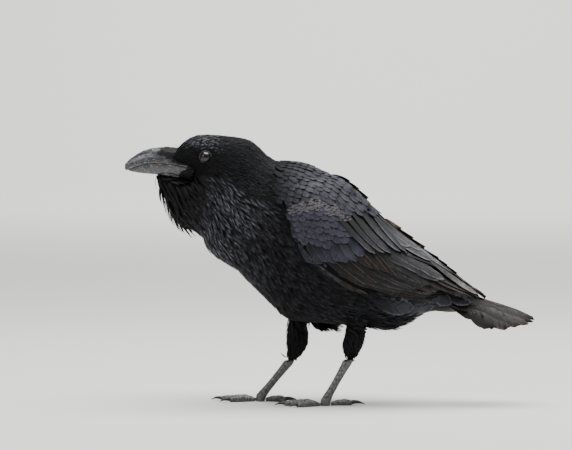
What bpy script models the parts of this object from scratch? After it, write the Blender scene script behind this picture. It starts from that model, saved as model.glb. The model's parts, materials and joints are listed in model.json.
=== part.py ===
"""Common raven (Corvus corax), life size, standing still with its neck stretched forward.

The bird faces -X, its left side is towards -Y and +Z is up. The design sizes below are in millimetres:
X is counted backwards from the tip of the bill, Z up from the floor and Y from the middle plane.
The last step moves the whole bird so that the middle of its box stands over the origin, in metres.

The trunk, neck and head are one smooth form, lofted through slanted cross-sections (stations) and
parted where the names change. The folded wings are shells that lie on that same form, so they follow
the flanks and wrap over the back. Each leg is a feathered thigh, a bare tarsus with its foot pad, and
four toes with claws that stand on flats at floor level.
"""
import math
from collections import namedtuple

import bmesh
import bpy
from mathutils import Vector

# ------------------------------------------------------------------ driving dimensions (millimetres)
MM = 0.001                  # metres in a millimetre
GAP = 0.3                   # clearance between solids that touch
SHELL_GAP = 1.5             # clearance under the wing shells, which also clears the facets' sag
BODY_SIDES = 26             # facets round a body section
LEG_SIDES = 16              # facets round a thigh
SHAFT_SIDES = 12            # facets round a tarsus
TOE_SIDES = 10              # facets round a toe
CLAW_SIDES = 8              # facets round a claw

EYE_RADIUS = 8.0            # the eyeball, mostly inside the head
EYE_SINK = 5.4              # how far its middle lies under the cheek's surface
EYE_AT = (105.2, 321.5)     # side-view place of the pupil

HIP_SPREAD = 27.0           # middle plane to the middle of a thigh
WING_THICKNESS = 5.6        # folded wing at its thickest
WING_ROWS = 20              # facets along a wing
WING_COLUMNS = 10           # facets across a wing
BACK_PARTING = 1.0          # half of the slot between the two wings over the back

# A body station is a slanted cross-section: its top on the back line, its bottom on the front and
# belly line, half its width, and how far up its height it is widest.
Station = namedtuple("Station", "top_x top_z low_x low_z half_width widest")

BODY = [
    Station(69.0, 334.4, 38.8, 296.0, 6.0, 0.52),       # 0 forehead to chin, behind the bare bill
    Station(77.0, 341.2, 42.6, 286.0, 14.5, 0.56),      # 1
    Station(90.0, 349.0, 49.0, 270.0, 20.0, 0.62),      # 2 lores
    Station(106.0, 351.2, 57.5, 252.0, 23.6, 0.64),     # 3 eye
    Station(125.0, 350.4, 67.0, 236.0, 27.5, 0.62),     # 4 ear
    Station(142.0, 348.6, 81.0, 228.0, 31.0, 0.58),     # 5 nape to the beard of the throat
    Station(161.0, 346.0, 95.5, 222.0, 35.0, 0.54),     # 6
    Station(174.5, 337.0, 103.0, 207.0, 39.0, 0.52),    # 7 hind neck
    Station(187.0, 325.0, 116.0, 191.5, 44.0, 0.50),    # 8
    Station(201.0, 317.6, 136.0, 179.5, 49.0, 0.50),    # 9 shoulder to the top of the breast
    Station(221.0, 315.6, 147.5, 170.0, 53.5, 0.50),    # 10
    Station(240.0, 311.0, 159.0, 159.0, 57.0, 0.50),    # 11 mantle
    Station(262.0, 300.5, 172.0, 146.0, 60.0, 0.50),    # 12
    Station(285.0, 287.5, 187.0, 132.0, 62.0, 0.49),    # 13
    Station(307.5, 267.8, 208.0, 110.5, 62.0, 0.48),    # 14 breast to belly
    Station(329.8, 245.6, 243.0, 105.0, 60.0, 0.47),    # 15
    Station(351.0, 227.4, 283.0, 102.4, 56.0, 0.47),    # 16
    Station(370.0, 212.2, 320.0, 98.6, 50.5, 0.48),     # 17 lower back to the vent
    Station(388.2, 198.6, 352.0, 98.4, 43.5, 0.50),     # 18
    Station(404.4, 186.2, 378.0, 112.0, 35.0, 0.52),    # 19 rump
    Station(426.0, 168.2, 404.0, 124.0, 27.5, 0.48),    # 20 from here on only the wings follow it
    Station(447.0, 150.5, 434.0, 123.0, 24.0, 0.44),    # 21
    Station(474.0, 134.5, 468.0, 114.0, 19.5, 0.46),    # 22 wing tips
]
HEAD_SPAN = (0.0, 4.6)      # stretch of the body table that each part takes
NECK_SPAN = (4.6, 9.4)
TRUNK_SPAN = (9.4, 19.0)
RUMP_END = Station(415.0, 164.0, 400.0, 123.0, 20.0, 0.50)   # the trunk closes here, under the wings

UPPER_BILL = [              # culmen and cutting edge, from inside the head to the hooked tip
    Station(90.0, 332.0, 93.0, 305.2, 12.2, 0.04),
    Station(75.0, 332.2, 77.5, 308.8, 12.4, 0.04),
    Station(60.0, 333.6, 62.7, 311.6, 11.6, 0.04),
    Station(43.2, 333.6, 46.3, 312.9, 9.8, 0.05),
    Station(27.7, 330.9, 31.5, 312.8, 7.8, 0.07),
    Station(13.4, 323.3, 17.7, 309.4, 5.3, 0.12),
    Station(4.4, 315.8, 8.6, 305.8, 3.1, 0.25),
    Station(0.0, 307.6, 2.6, 303.6, 1.0, 0.45),
]
LOWER_BILL = [              # its own cutting edge and the line of the jaw
    Station(91.0, 304.6, 88.0, 291.5, 11.6, 0.95),
    Station(77.2, 308.2, 74.0, 294.6, 11.6, 0.95),
    Station(62.6, 311.0, 61.5, 296.6, 10.8, 0.95),
    Station(46.2, 312.3, 44.5, 297.6, 9.0, 0.94),
    Station(31.4, 312.2, 29.0, 298.9, 7.0, 0.92),
    Station(18.2, 308.9, 17.4, 300.2, 4.6, 0.86),
    Station(10.2, 305.9, 10.2, 301.6, 2.6, 0.74),
    Station(5.6, 304.2, 5.8, 302.4, 1.1, 0.50),
]

# The folded wing from its bend to its tip: the upper and the lower end of each chord, in side view.
WING_CHORDS = [
    ((219.5, 254.0), (219.5, 242.0)),      # leading edge at the bend
    ((225.0, 270.0), (222.5, 222.0)),
    ((236.0, 286.0), (232.0, 210.0)),
    ((253.0, 294.0), (245.0, 195.5)),
    ((277.0, 293.0), (265.0, 178.0)),
    ((303.0, 284.0), (288.0, 163.0)),
    ((324.0, 264.0), (314.0, 150.0)),      # end of the primary coverts
    ((347.0, 242.0), (344.0, 153.5)),
    ((370.0, 222.0), (372.0, 150.5)),      # secondaries
    ((392.0, 205.0), (399.0, 147.5)),
    ((414.0, 186.0), (425.0, 144.5)),
    ((440.0, 162.0), (447.0, 140.5)),      # primaries alone
    ((465.0, 142.5), (468.0, 136.0)),      # tip
]

# The tail is a plate arched like a low roof: place of the section's ridge, its height, how far the
# sides drop, half its width, its thickness at the ridge, how far the coverts fill it from below, and
# how far the section leans back, as a share of its height.
TailSection = namedtuple("TailSection", "x ridge_z drop half_width thickness fill lean")
TAIL = [
    TailSection(413.8, 157.5, 13.0, 19.0, 9.0, 27.0, 0.366),
    TailSection(424.0, 153.6, 15.0, 21.0, 8.0, 25.0, 0.30),
    TailSection(436.0, 149.0, 17.5, 24.0, 6.5, 20.0, 0.18),
    TailSection(450.0, 143.8, 19.5, 26.5, 5.0, 12.0, 0.06),
    TailSection(465.0, 138.4, 21.5, 28.5, 4.0, 4.0, 0.0),
    TailSection(480.0, 132.8, 22.5, 30.0, 3.2, 0.0, 0.0),
    TailSection(496.0, 126.6, 19.5, 28.0, 2.6, 0.0, 0.0),
    TailSection(512.0, 120.6, 14.0, 22.0, 2.0, 0.0, 0.0),
    TailSection(525.0, 115.2, 8.0, 14.0, 1.5, 0.0, 0.0),
    TailSection(534.4, 110.8, 3.0, 6.0, 1.0, 0.0, 0.0),
]
TAIL_ROLL = math.radians(6.0)              # the left side hangs a little lower
TAIL_COLUMNS = 10                          # facets across the tail

# A leg ring is a level or tilted ellipse: its centre in side view, half its depth and half its width.
LegRing = namedtuple("LegRing", "x z half_depth half_width")
LEFT_THIGH = [
    LegRing(301.0, 132.0, 17.0, 15.0),
    LegRing(301.0, 116.0, 15.0, 13.5),
    LegRing(300.5, 101.0, 14.2, 12.5),
    LegRing(298.5, 86.0, 14.6, 12.3),
    LegRing(296.8, 74.0, 12.4, 10.5),
    LegRing(294.2, 65.5, 8.6, 7.4),
    LegRing(293.4, 61.4, 5.4, 5.0),
]
RIGHT_THIGH = [
    LegRing(227.0, 134.0, 18.0, 15.0),
    LegRing(225.0, 117.0, 15.0, 13.5),
    LegRing(223.0, 101.0, 14.3, 12.5),
    LegRing(223.3, 84.0, 15.3, 12.6),
    LegRing(221.6, 69.0, 13.0, 10.8),
    LegRing(217.2, 59.8, 8.6, 7.4),
    LegRing(214.9, 55.6, 5.4, 5.0),
]
LEFT_ANKLE = (293.0, 60.0)
RIGHT_ANKLE = (214.4, 54.0)
TARSUS_LENGTH = 62.5
SHANK_HALF_DEPTH = 4.6                     # the bare shank at its slimmest
SHANK_HALF_WIDTH = 3.4
ANKLE_HALF_DEPTH = 6.0
ANKLE_HALF_WIDTH = 5.4
# How the shank swells along its length: share of the length, then 0 for its slimmest, 1 for the ankle.
SHANK_PROFILE = [(0.0, 0.4), (0.03, 0.9), (0.08, 1.0), (0.16, 0.55), (0.30, 0.2), (0.55, 0.0),
                 (0.75, 0.15), (0.86, 0.5)]
SHANK_LEVEL_SHARE = 0.12                   # the ring at its top is level and tilts over this share
TOE_JOINT_RADIUS = 6.4                     # bulge of the toe joint over the sole pad
PAD_HALF_LENGTH = 6.6                      # sole pad under the toe joint
PAD_HALF_WIDTH = 8.2
PAD_HEIGHT = 6.0
PAD_SOLE_SHARE = 0.87                      # the sole's flat is this share of the pad
TOE_JOINT_Z = 5.5                          # where the shaft's axis meets the pad
FOOT_SPREAD = 28.0                         # middle plane to the toe joint
TOE_OUT = math.radians(7.0)                # each foot points a little outwards

# A toe: direction from straight ahead (positive towards the bird's middle), sideways place of its
# root, length, radii at root, middle and end, and the length and base radius of its claw.
Toe = namedtuple("Toe", "turn offset length root middle end claw_length claw_radius")
TOES = {
    "middle": Toe(0.0, 0.0, 45.0, 2.3, 4.1, 3.2, 17.0, 2.5),
    "inner": Toe(27.0, 5.0, 33.0, 2.2, 4.0, 3.2, 17.0, 2.6),
    "outer": Toe(-29.0, -5.0, 35.0, 2.2, 3.8, 3.0, 15.0, 2.3),
    "back": Toe(176.0, 0.0, 27.0, 2.6, 4.4, 3.8, 22.0, 3.1),
}
TOE_START = PAD_HALF_LENGTH + 0.7          # distance of a toe's root from the toe joint
CLAW_TIP_Z = 0.35                          # the claws' tips hover just over the floor

PLUMAGE = ("plumage", (0.012, 0.012, 0.014), 0.62)
FLIGHT_COAT = ("flight_plumage", (0.022, 0.022, 0.028), 0.48)
BILL_HORN = ("bill_horn", (0.060, 0.061, 0.065), 0.42)
SCALE = ("leg_scales", (0.055, 0.055, 0.055), 0.55)
CLAW_HORN = ("claw_horn", (0.014, 0.014, 0.015), 0.35)
EYE = ("eye", (0.010, 0.009, 0.009), 0.05)


# ------------------------------------------------------------------------------------------- helpers
def clear_scene():
    for item in list(bpy.data.objects):
        bpy.data.objects.remove(item, do_unlink=True)


def material(finish):
    """Principled material of a finish (name, colour, roughness), made once."""
    name, colour, roughness = finish
    found = bpy.data.materials.get(name)
    if found:
        return found
    made = bpy.data.materials.new(name)
    made.use_nodes = True
    shader = made.node_tree.nodes["Principled BSDF"]
    shader.inputs["Base Color"].default_value = (*colour, 1.0)
    shader.inputs["Roughness"].default_value = roughness
    shader.inputs["Metallic"].default_value = 0.0
    return made


def smooth_step(table, place):
    """Catmull-Rom value of a table of equal tuples at a place counted in rows."""
    last = len(table) - 1
    row = min(int(place), last - 1)
    part = place - row
    p0, p1, p2, p3 = (table[min(max(row + k, 0), last)] for k in (-1, 0, 1, 2))
    values = []
    for a, b, c, d in zip(p0, p1, p2, p3):
        values.append(b + 0.5 * part * (c - a + part * (2 * a - 5 * b + 4 * c - d
                                                        + part * (3 * (b - c) + d - a))))
    return values


def station_at(table, place):
    return Station(*smooth_step(table, place))


def section_point(station, angle, grow=0.0):
    """Point on a station: angle 0 is its top, a quarter turn the left side, half a turn its bottom."""
    top = Vector((station.top_x, 0.0, station.top_z))
    low = Vector((station.low_x, 0.0, station.low_z))
    height = (top - low).length
    up = (top - low) / height
    middle = low + up * height * station.widest
    rise, side = math.cos(angle), math.sin(angle)
    reach = height * ((1.0 - station.widest) if rise > 0.0 else station.widest)
    return middle + up * (reach + grow) * rise + Vector((0.0, -(station.half_width + grow) * side, 0.0))


def ring_of(station, sides, grow=0.0):
    return [section_point(station, 2.0 * math.pi * k / sides, grow) for k in range(sides)]


def mesh_object(name, points, faces, finish):
    """Closed mesh from points in millimetres, with its faces turned outwards."""
    mesh = bpy.data.meshes.new(name)
    mesh.from_pydata([point * MM for point in points], [], faces)
    shape = bmesh.new()
    shape.from_mesh(mesh)
    bmesh.ops.recalc_face_normals(shape, faces=shape.faces)
    shape.to_mesh(mesh)
    shape.free()
    mesh.materials.append(material(finish))
    mesh.shade_smooth()
    mesh.set_sharp_from_angle(angle=math.radians(50.0))
    made = bpy.data.objects.new(name, mesh)
    bpy.context.scene.collection.objects.link(made)
    return made


def loft(name, rings, finish):
    """Closed skin through rings of equal counts, flat at both ends."""
    count = len(rings[0])
    points = [point for ring in rings for point in ring]
    faces = []
    for row in range(len(rings) - 1):
        for k in range(count):
            a, b = row * count + k, row * count + (k + 1) % count
            faces.append((a, b, b + count, a + count))
    faces.append(tuple(range(count)))
    faces.append(tuple(range((len(rings) - 1) * count, len(rings) * count)))
    return mesh_object(name, points, faces, finish)


def cut(target, name, rings):
    """Takes a lofted shape out of the target, and leaves the cutter as a hidden guide."""
    cutter = loft(name, rings, PLUMAGE)
    cut_with(target, cutter)
    return cutter


def cut_with(target, cutter):
    cutter.hide_render = True
    cutter.display_type = "WIRE"
    modifier = target.modifiers.new("cut_" + cutter.name, "BOOLEAN")
    modifier.operation = "DIFFERENCE"
    modifier.solver = "EXACT"
    modifier.object = cutter


# ---------------------------------------------------------------------------------- head, neck, trunk
def span_rings(span, per_station=1, grow=0.0):
    """Rings of a stretch of the body table, drawn in by the clearance at its open ends."""
    first, last = span
    steps = max(2, round((last - first) * per_station))
    places = [first + (last - first) * k / steps for k in range(steps + 1)]
    return [ring_of(station_at(BODY, place), BODY_SIDES, grow) for place in places]


def shift_ring(ring, distance):
    return [point + Vector((distance, 0.0, 0.0)) for point in ring]


def trunk_rings(grow=0.0):
    rings = span_rings(TRUNK_SPAN, 1.6, grow)
    rings.append(ring_of(RUMP_END, BODY_SIDES, grow))
    return rings


def build_body():
    head_rings = span_rings(HEAD_SPAN, 1.4)
    neck_rings = span_rings(NECK_SPAN, 1.25)
    neck_rings[0] = shift_ring(neck_rings[0], GAP)
    trunk = trunk_rings()
    trunk[0] = shift_ring(trunk[0], GAP)
    head = loft("head", head_rings, PLUMAGE)
    loft("neck", neck_rings, PLUMAGE)
    loft("trunk", trunk, PLUMAGE)
    return head


def build_bill(head):
    for name, table in (("bill_upper", UPPER_BILL), ("bill_lower", LOWER_BILL)):
        steps = 10
        places = [(len(table) - 1) * k / steps for k in range(steps + 1)]
        stations = [station_at(table, place) for place in places]
        loft(name, [ring_of(station, 16) for station in stations], BILL_HORN)
        back = stations[0]._replace(top_x=stations[0].top_x + GAP, low_x=stations[0].low_x + GAP)
        cut(head, name + "_socket", [ring_of(station, 16, GAP) for station in [back] + stations[1:]])


def build_eyes(head):
    place, angle = place_on_body(*EYE_AT)
    surface = section_point(station_at(BODY, place), angle)
    for side, name in ((-1.0, "eye_left"), (1.0, "eye_right")):
        middle = Vector((EYE_AT[0], side * (abs(surface.y) - EYE_SINK), EYE_AT[1]))
        ball = eyeball(name, middle, EYE_RADIUS)
        ball.data.materials.append(material(EYE))
        socket = eyeball(name + "_socket", middle, EYE_RADIUS + GAP)
        cut_with(head, socket)


def eyeball(name, middle, radius):
    mesh = bpy.data.meshes.new(name)
    shape = bmesh.new()
    bmesh.ops.create_icosphere(shape, subdivisions=3, radius=radius * MM)
    bmesh.ops.translate(shape, verts=shape.verts, vec=middle * MM)
    shape.to_mesh(mesh)
    shape.free()
    mesh.shade_smooth()
    made = bpy.data.objects.new(name, mesh)
    bpy.context.scene.collection.objects.link(made)
    return made


# ---------------------------------------------------------------------------------------------- wings
def place_on_body(x, z):
    """Row of the body table and angle of the section whose left surface lies at a side-view point."""
    low, high = 0.0, float(len(BODY) - 1)
    for _ in range(40):
        middle = (low + high) / 2.0
        station = station_at(BODY, middle)
        rise_x, rise_z = station.top_x - station.low_x, station.top_z - station.low_z
        if rise_z * (x - station.low_x) - rise_x * (z - station.low_z) > 0.0:
            low = middle
        else:
            high = middle
    station = station_at(BODY, low)
    height = math.hypot(station.top_x - station.low_x, station.top_z - station.low_z)
    along = ((x - station.low_x) * (station.top_x - station.low_x)
             + (z - station.low_z) * (station.top_z - station.low_z)) / height
    above = along - height * station.widest
    reach = height * ((1.0 - station.widest) if above > 0.0 else station.widest)
    return low, math.acos(min(max(above / reach, -1.0), 1.0))


def wing_point(chords, row, column, lift):
    """Point of the wing at a chord and a share of its width, lifted off the body."""
    top_place, top_angle, low_place, low_angle = smooth_step(chords, row)
    place = top_place + (low_place - top_place) * column
    angle = top_angle + (low_angle - top_angle) * column
    station = station_at(BODY, min(max(place, 0.0), len(BODY) - 1.0))
    least = math.asin(min(BACK_PARTING / (station.half_width + lift), 1.0))
    return section_point(station, max(angle, least), lift)


def wing_thickness(along, across):
    """Thickness at a share of the wing's length and width: full over the coverts, thin at the rims."""
    body = math.sin(math.pi * min(0.5, 0.12 + 1.6 * along)) * (1.0 - 0.55 * along ** 1.5)
    rim = 0.30 + 0.70 * math.sin(math.pi * min(max(across, 0.0), 1.0)) ** 0.6
    return max(WING_THICKNESS * body * rim, 0.9)


def build_wings():
    chords = []
    for top, low in WING_CHORDS:
        chords.append((*place_on_body(*top), *place_on_body(*low)))
    last = len(chords) - 1
    for side, name in ((1.0, "wing_left"), (-1.0, "wing_right")):
        layers = []
        for outer in (True, False):
            layer = []
            for i in range(WING_ROWS + 1):
                for j in range(WING_COLUMNS + 1):
                    along, across = i / WING_ROWS, j / WING_COLUMNS
                    lift = SHELL_GAP + (wing_thickness(along, across) if outer else 0.0)
                    point = wing_point(chords, last * along, across, lift)
                    layer.append(Vector((point.x, side * point.y, point.z)))
            layers.append(layer)
        mesh_object(name, layers[0] + layers[1], shell_faces(WING_ROWS, WING_COLUMNS), FLIGHT_COAT)


def shell_faces(rows, columns):
    """Faces of two grid layers of equal counts and the rim that joins them."""
    width = columns + 1
    size = (rows + 1) * width
    faces = []
    for i in range(rows):
        for j in range(columns):
            a = i * width + j
            quad = (a, a + 1, a + width + 1, a + width)
            faces.append(quad)
            faces.append(tuple(k + size for k in reversed(quad)))
    border = [j for j in range(width)]
    border += [i * width + columns for i in range(1, rows + 1)]
    border += [rows * width + j for j in range(columns - 1, -1, -1)]
    border += [i * width for i in range(rows - 1, 0, -1)]
    for k, a in enumerate(border):
        b = border[(k + 1) % len(border)]
        faces.append((a, a + size, b + size, b))
    return faces


# ----------------------------------------------------------------------------------------------- tail
def tail_ring(section):
    """Closed outline of the tail's arch: over the top from left to right and back underneath."""
    points = []
    for top in (True, False):
        for k in range(TAIL_COLUMNS + 1):
            share = -1.0 + 2.0 * k / TAIL_COLUMNS
            if not top:
                share = -share
            y = share * section.half_width
            z = section.ridge_z - section.drop * share * share
            if not top:
                hollow = 1.0 - share * share
                z -= max(0.9, section.thickness * (0.35 + 0.65 * hollow)) + section.fill * hollow
            fall = z - section.ridge_z
            turned_y = y * math.cos(TAIL_ROLL) - fall * math.sin(TAIL_ROLL)
            turned_z = y * math.sin(TAIL_ROLL) + fall * math.cos(TAIL_ROLL)
            points.append(Vector((section.x + section.lean * fall, turned_y, section.ridge_z + turned_z)))
    return points


def build_tail():
    steps = 2 * (len(TAIL) - 1)
    sections = [TailSection(*smooth_step(TAIL, k / 2.0)) for k in range(steps + 1)]
    loft("tail", [tail_ring(section) for section in sections], FLIGHT_COAT)


# ----------------------------------------------------------------------------------------------- legs
def ellipse(middle, depth_way, half_depth, half_width, sides):
    """Ring round a leg: its depth lies along depth_way, its width along Y."""
    ring = []
    for k in range(sides):
        angle = 2.0 * math.pi * k / sides
        ring.append(middle + depth_way * half_depth * math.cos(angle)
                    + Vector((0.0, half_width * math.sin(angle), 0.0)))
    return ring


def build_thigh(name, table, y):
    level = Vector((1.0, 0.0, 0.0))
    rings = []
    for row in range(2 * len(table) - 1):
        x, z, half_depth, half_width = smooth_step(table, row / 2.0)
        rings.append(ellipse(Vector((x, y, z)), level, half_depth, half_width, LEG_SIDES))
    thigh = loft(name, rings, PLUMAGE)
    cut(thigh, name + "_trunk", trunk_rings(GAP))


def build_tarsus(name, ankle, y):
    """Bare shank and sole pad in one; returns the toe joint over the pad."""
    top = Vector((ankle[0], y, ankle[1]))
    fall = ankle[1] - TOE_JOINT_Z
    run = math.sqrt(TARSUS_LENGTH ** 2 - fall ** 2)
    joint = Vector((ankle[0] - run, math.copysign(FOOT_SPREAD, y), TOE_JOINT_Z))
    way = (joint - top).normalized()
    across = Vector((-way.z, 0.0, way.x)).normalized()
    level = Vector((1.0, 0.0, 0.0))
    rings = []
    for share, swell in SHANK_PROFILE:
        half_depth = SHANK_HALF_DEPTH + (ANKLE_HALF_DEPTH - SHANK_HALF_DEPTH) * swell
        half_width = SHANK_HALF_WIDTH + (ANKLE_HALF_WIDTH - SHANK_HALF_WIDTH) * swell
        tilt = level.lerp(across, min(share / SHANK_LEVEL_SHARE, 1.0)).normalized()
        rings.append(ellipse(top + (joint - top) * share, tilt, half_depth, half_width, SHAFT_SIDES))
    tilt = across.lerp(level, 0.6).normalized()
    bulge = joint + Vector((1.0, 0.0, 1.2))
    rings.append(ellipse(bulge, tilt, TOE_JOINT_RADIUS, TOE_JOINT_RADIUS, SHAFT_SIDES))
    for height, share in ((PAD_HEIGHT * 0.45, 1.0), (0.0, PAD_SOLE_SHARE)):
        middle = Vector((joint.x, joint.y, height))
        rings.append(ellipse(middle, level, PAD_HALF_LENGTH * share, PAD_HALF_WIDTH * share, SHAFT_SIDES))
    loft(name, rings, SCALE)
    return joint


def toe_ring(middle, side_way, radius, sides, floor):
    """Upright ring of a toe or claw, pressed flat where it would go under the floor."""
    ring = []
    for k in range(sides):
        angle = 2.0 * math.pi * (k + 0.5) / sides
        point = middle + side_way * radius * math.cos(angle) + Vector((0.0, 0.0, radius * math.sin(angle)))
        point.z = max(point.z, floor)
        ring.append(point)
    return ring


def build_toe(foot, toe_name, toe, joint, side):
    """One toe with its knuckles and its claw; side is -1 for the left foot and 1 for the right."""
    inward = -side                                    # +Y is inwards on the left foot
    turn = math.radians(toe.turn) - TOE_OUT
    way = Vector((-math.cos(turn), inward * math.sin(turn), 0.0))
    side_way = Vector((way.y, -way.x, 0.0))
    ahead = Vector((-math.cos(TOE_OUT), -inward * math.sin(TOE_OUT), 0.0))
    sideways = Vector((ahead.y, -ahead.x, 0.0)) * inward
    start = Vector((joint.x, joint.y, 0.0)) + sideways * toe.offset
    start += (way if toe_name == "back" else ahead) * TOE_START
    rings = []
    knuckles = 2 if toe_name == "back" else 3
    rows = 3 * knuckles
    for row in range(rows + 1):
        share = row / rows
        radius = smooth_step([(toe.root,), (toe.middle,), (toe.end,)], 2.0 * share)[0]
        radius *= 1.0 + 0.07 * math.cos(2.0 * math.pi * knuckles * share + math.pi)
        height = radius * 0.86
        rings.append(toe_ring(start + way * toe.length * share + Vector((0.0, 0.0, height)),
                              side_way, radius, TOE_SIDES, 0.0))
    loft("toe_{}_{}".format(foot, toe_name), rings, SCALE)
    build_claw("claw_{}_{}".format(foot, toe_name), start + way * (toe.length + GAP), way, side_way,
               toe)


def build_claw(name, root, way, side_way, toe):
    """Horn hook that leaves the toe's end level and bends down to the floor."""
    rings = []
    rows = 5
    bend = math.radians(62.0)
    arc = toe.claw_length / bend
    start_z = toe.claw_radius + 1.0
    drop = arc * (1.0 - math.cos(bend))
    for row in range(rows + 1):
        share = row / rows
        turn = bend * share
        radius = max(toe.claw_radius * (1.0 - share) ** 0.8, 0.35)
        fall = arc * (1.0 - math.cos(turn)) / drop
        z = start_z + 1.6 * math.sin(math.pi * share * 0.8) * (1.0 - share)
        z += (CLAW_TIP_Z + 0.35 - start_z) * fall
        middle = root + way * arc * math.sin(turn) + Vector((0.0, 0.0, z))
        rings.append(toe_ring(middle, side_way, radius, CLAW_SIDES, CLAW_TIP_Z))
    loft(name, rings, CLAW_HORN)


def build_legs():
    for side, foot, thigh, ankle in ((-1.0, "left", LEFT_THIGH, LEFT_ANKLE),
                                     (1.0, "right", RIGHT_THIGH, RIGHT_ANKLE)):
        y = side * HIP_SPREAD
        build_thigh("thigh_" + foot, thigh, y)
        joint = build_tarsus("tarsus_" + foot, ankle, y)
        for toe_name, toe in TOES.items():
            build_toe(foot, toe_name, toe, joint, side)


# ------------------------------------------------------------------------------------------- assembly
def stand_over_origin():
    """Hangs all pieces on one empty and moves it, so that the middle of the box is over the origin."""
    bpy.context.view_layer.update()
    graph = bpy.context.evaluated_depsgraph_get()
    pieces = [item for item in bpy.data.objects if item.type == "MESH"]
    corners = []
    for piece in pieces:
        if not piece.hide_render:
            shown = piece.evaluated_get(graph)
            corners += [shown.matrix_world @ vertex.co for vertex in shown.data.vertices]
    middle_x = (min(c.x for c in corners) + max(c.x for c in corners)) / 2.0
    middle_y = (min(c.y for c in corners) + max(c.y for c in corners)) / 2.0
    whole = bpy.data.objects.new("raven", None)
    bpy.context.scene.collection.objects.link(whole)
    for piece in pieces:
        piece.parent = whole
    whole.location = (-middle_x, -middle_y, 0.0)


def build_raven():
    clear_scene()
    head = build_body()
    build_bill(head)
    build_eyes(head)
    build_wings()
    build_tail()
    build_legs()
    stand_over_origin()


build_raven()
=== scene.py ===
"""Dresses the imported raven: skin, feathers, bill, eyes and feet, with a plain studio round it.

Lengths in the classes are millimetres. Places in side view are (x, z): x is how far a point lies
behind the tip of the bill and z its height over the floor. The left side of the bird is towards -Y.
"""

from __future__ import annotations

import json
import logging
import math
from collections.abc import Iterator
from contextlib import contextmanager
from dataclasses import dataclass, field
from enum import Enum

import bmesh
import bpy
import numpy as np
from bpy.types import Material, Node, NodeTree, Object
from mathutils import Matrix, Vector, noise
from mathutils.bvhtree import BVHTree
from mathutils.geometry import barycentric_transform

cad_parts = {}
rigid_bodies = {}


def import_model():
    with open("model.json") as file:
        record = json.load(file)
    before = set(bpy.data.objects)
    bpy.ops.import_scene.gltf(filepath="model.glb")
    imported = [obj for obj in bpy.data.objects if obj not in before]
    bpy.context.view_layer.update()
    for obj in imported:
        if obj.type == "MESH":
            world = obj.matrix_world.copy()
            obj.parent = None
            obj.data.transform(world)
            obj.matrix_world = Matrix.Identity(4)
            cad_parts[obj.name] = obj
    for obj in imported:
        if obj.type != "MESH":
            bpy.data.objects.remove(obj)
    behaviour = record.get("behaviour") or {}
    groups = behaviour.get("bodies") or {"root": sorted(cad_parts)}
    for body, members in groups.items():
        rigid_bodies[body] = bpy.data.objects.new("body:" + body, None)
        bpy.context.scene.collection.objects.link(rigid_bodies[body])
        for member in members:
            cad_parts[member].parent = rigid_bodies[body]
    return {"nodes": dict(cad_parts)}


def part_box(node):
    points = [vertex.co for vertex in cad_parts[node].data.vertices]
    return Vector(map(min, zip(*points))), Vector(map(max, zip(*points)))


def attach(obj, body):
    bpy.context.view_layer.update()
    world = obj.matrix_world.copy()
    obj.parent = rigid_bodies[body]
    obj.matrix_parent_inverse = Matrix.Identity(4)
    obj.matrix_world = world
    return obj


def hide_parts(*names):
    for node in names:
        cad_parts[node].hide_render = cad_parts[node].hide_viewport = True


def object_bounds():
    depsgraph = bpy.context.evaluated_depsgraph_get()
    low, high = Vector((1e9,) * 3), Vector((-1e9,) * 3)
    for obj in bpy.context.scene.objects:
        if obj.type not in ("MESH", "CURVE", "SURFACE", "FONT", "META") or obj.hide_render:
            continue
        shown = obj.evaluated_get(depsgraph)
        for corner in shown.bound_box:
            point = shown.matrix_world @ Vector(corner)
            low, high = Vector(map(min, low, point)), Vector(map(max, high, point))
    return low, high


# Two or three lengths or shares, and a line or closed outline of the side view.
Pair = tuple[float, float]
Triple = tuple[float, float, float]
Outline = tuple[Pair, ...]

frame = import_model()
CAD_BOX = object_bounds()
NODES = frame["nodes"]

MM = 0.001
BILL_TIP_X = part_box("bill_upper")[0].x
# A tuft's colours fill a patch this wide on the skin's unwrap.
TUFT_PATCH = 0.003
# The colours of a big feather fill a cell of a grid but for this share on each side.
CELL_MARGIN = 0.06
# The ends of a map-range node, in the order in which they are given here.
RANGE = ("From Min", "From Max", "To Min", "To Max")
WINGS = ("wing_left", "wing_right")
LOG = logging.getLogger("raven")
RNG = np.random.default_rng(20)


class Side(Enum):
    """The two sides of the bird, by the sign of Y."""

    LEFT = -1.0
    RIGHT = 1.0


# ---- helpers
def at(x: float, y: float, z: float) -> Vector:
    """Turns a place in millimetres behind the bill's tip into metres in the shared frame."""
    return Vector((BILL_TIP_X + x * MM, y * MM, z * MM))


def in_mm(points: np.ndarray) -> np.ndarray:
    """Turns metres in the shared frame back into millimetres behind the bill's tip."""
    return (points - np.array((BILL_TIP_X, 0.0, 0.0))) / MM


def in_metres(points: np.ndarray) -> np.ndarray:
    """Turns millimetres behind the bill's tip into metres in the shared frame."""
    return points * MM + np.array((BILL_TIP_X, 0.0, 0.0))


def between(ends: Pair, share: float | np.ndarray) -> float | np.ndarray:
    """Value at a share of the way from the first end to the second."""
    return ends[0] + (ends[1] - ends[0]) * share


def within(span: Pair, value: float) -> bool:
    """Whether a value lies between the ends of a span."""
    return span[0] < value < span[1]


def linear(colour: str) -> tuple[float, float, float, float]:
    """Turns an sRGB hex value into the linear colour that the nodes take."""
    parts = [int(colour[i : i + 2], 16) / 255.0 for i in (1, 3, 5)]
    return (*[p / 12.92 if p <= 0.04045 else ((p + 0.055) / 1.055) ** 2.4 for p in parts], 1.0)


def unit(vectors: np.ndarray) -> np.ndarray:
    """Scales vectors to length one, along the last axis."""
    return vectors / np.maximum(np.linalg.norm(vectors, axis=-1, keepdims=True), 1e-12)


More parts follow.
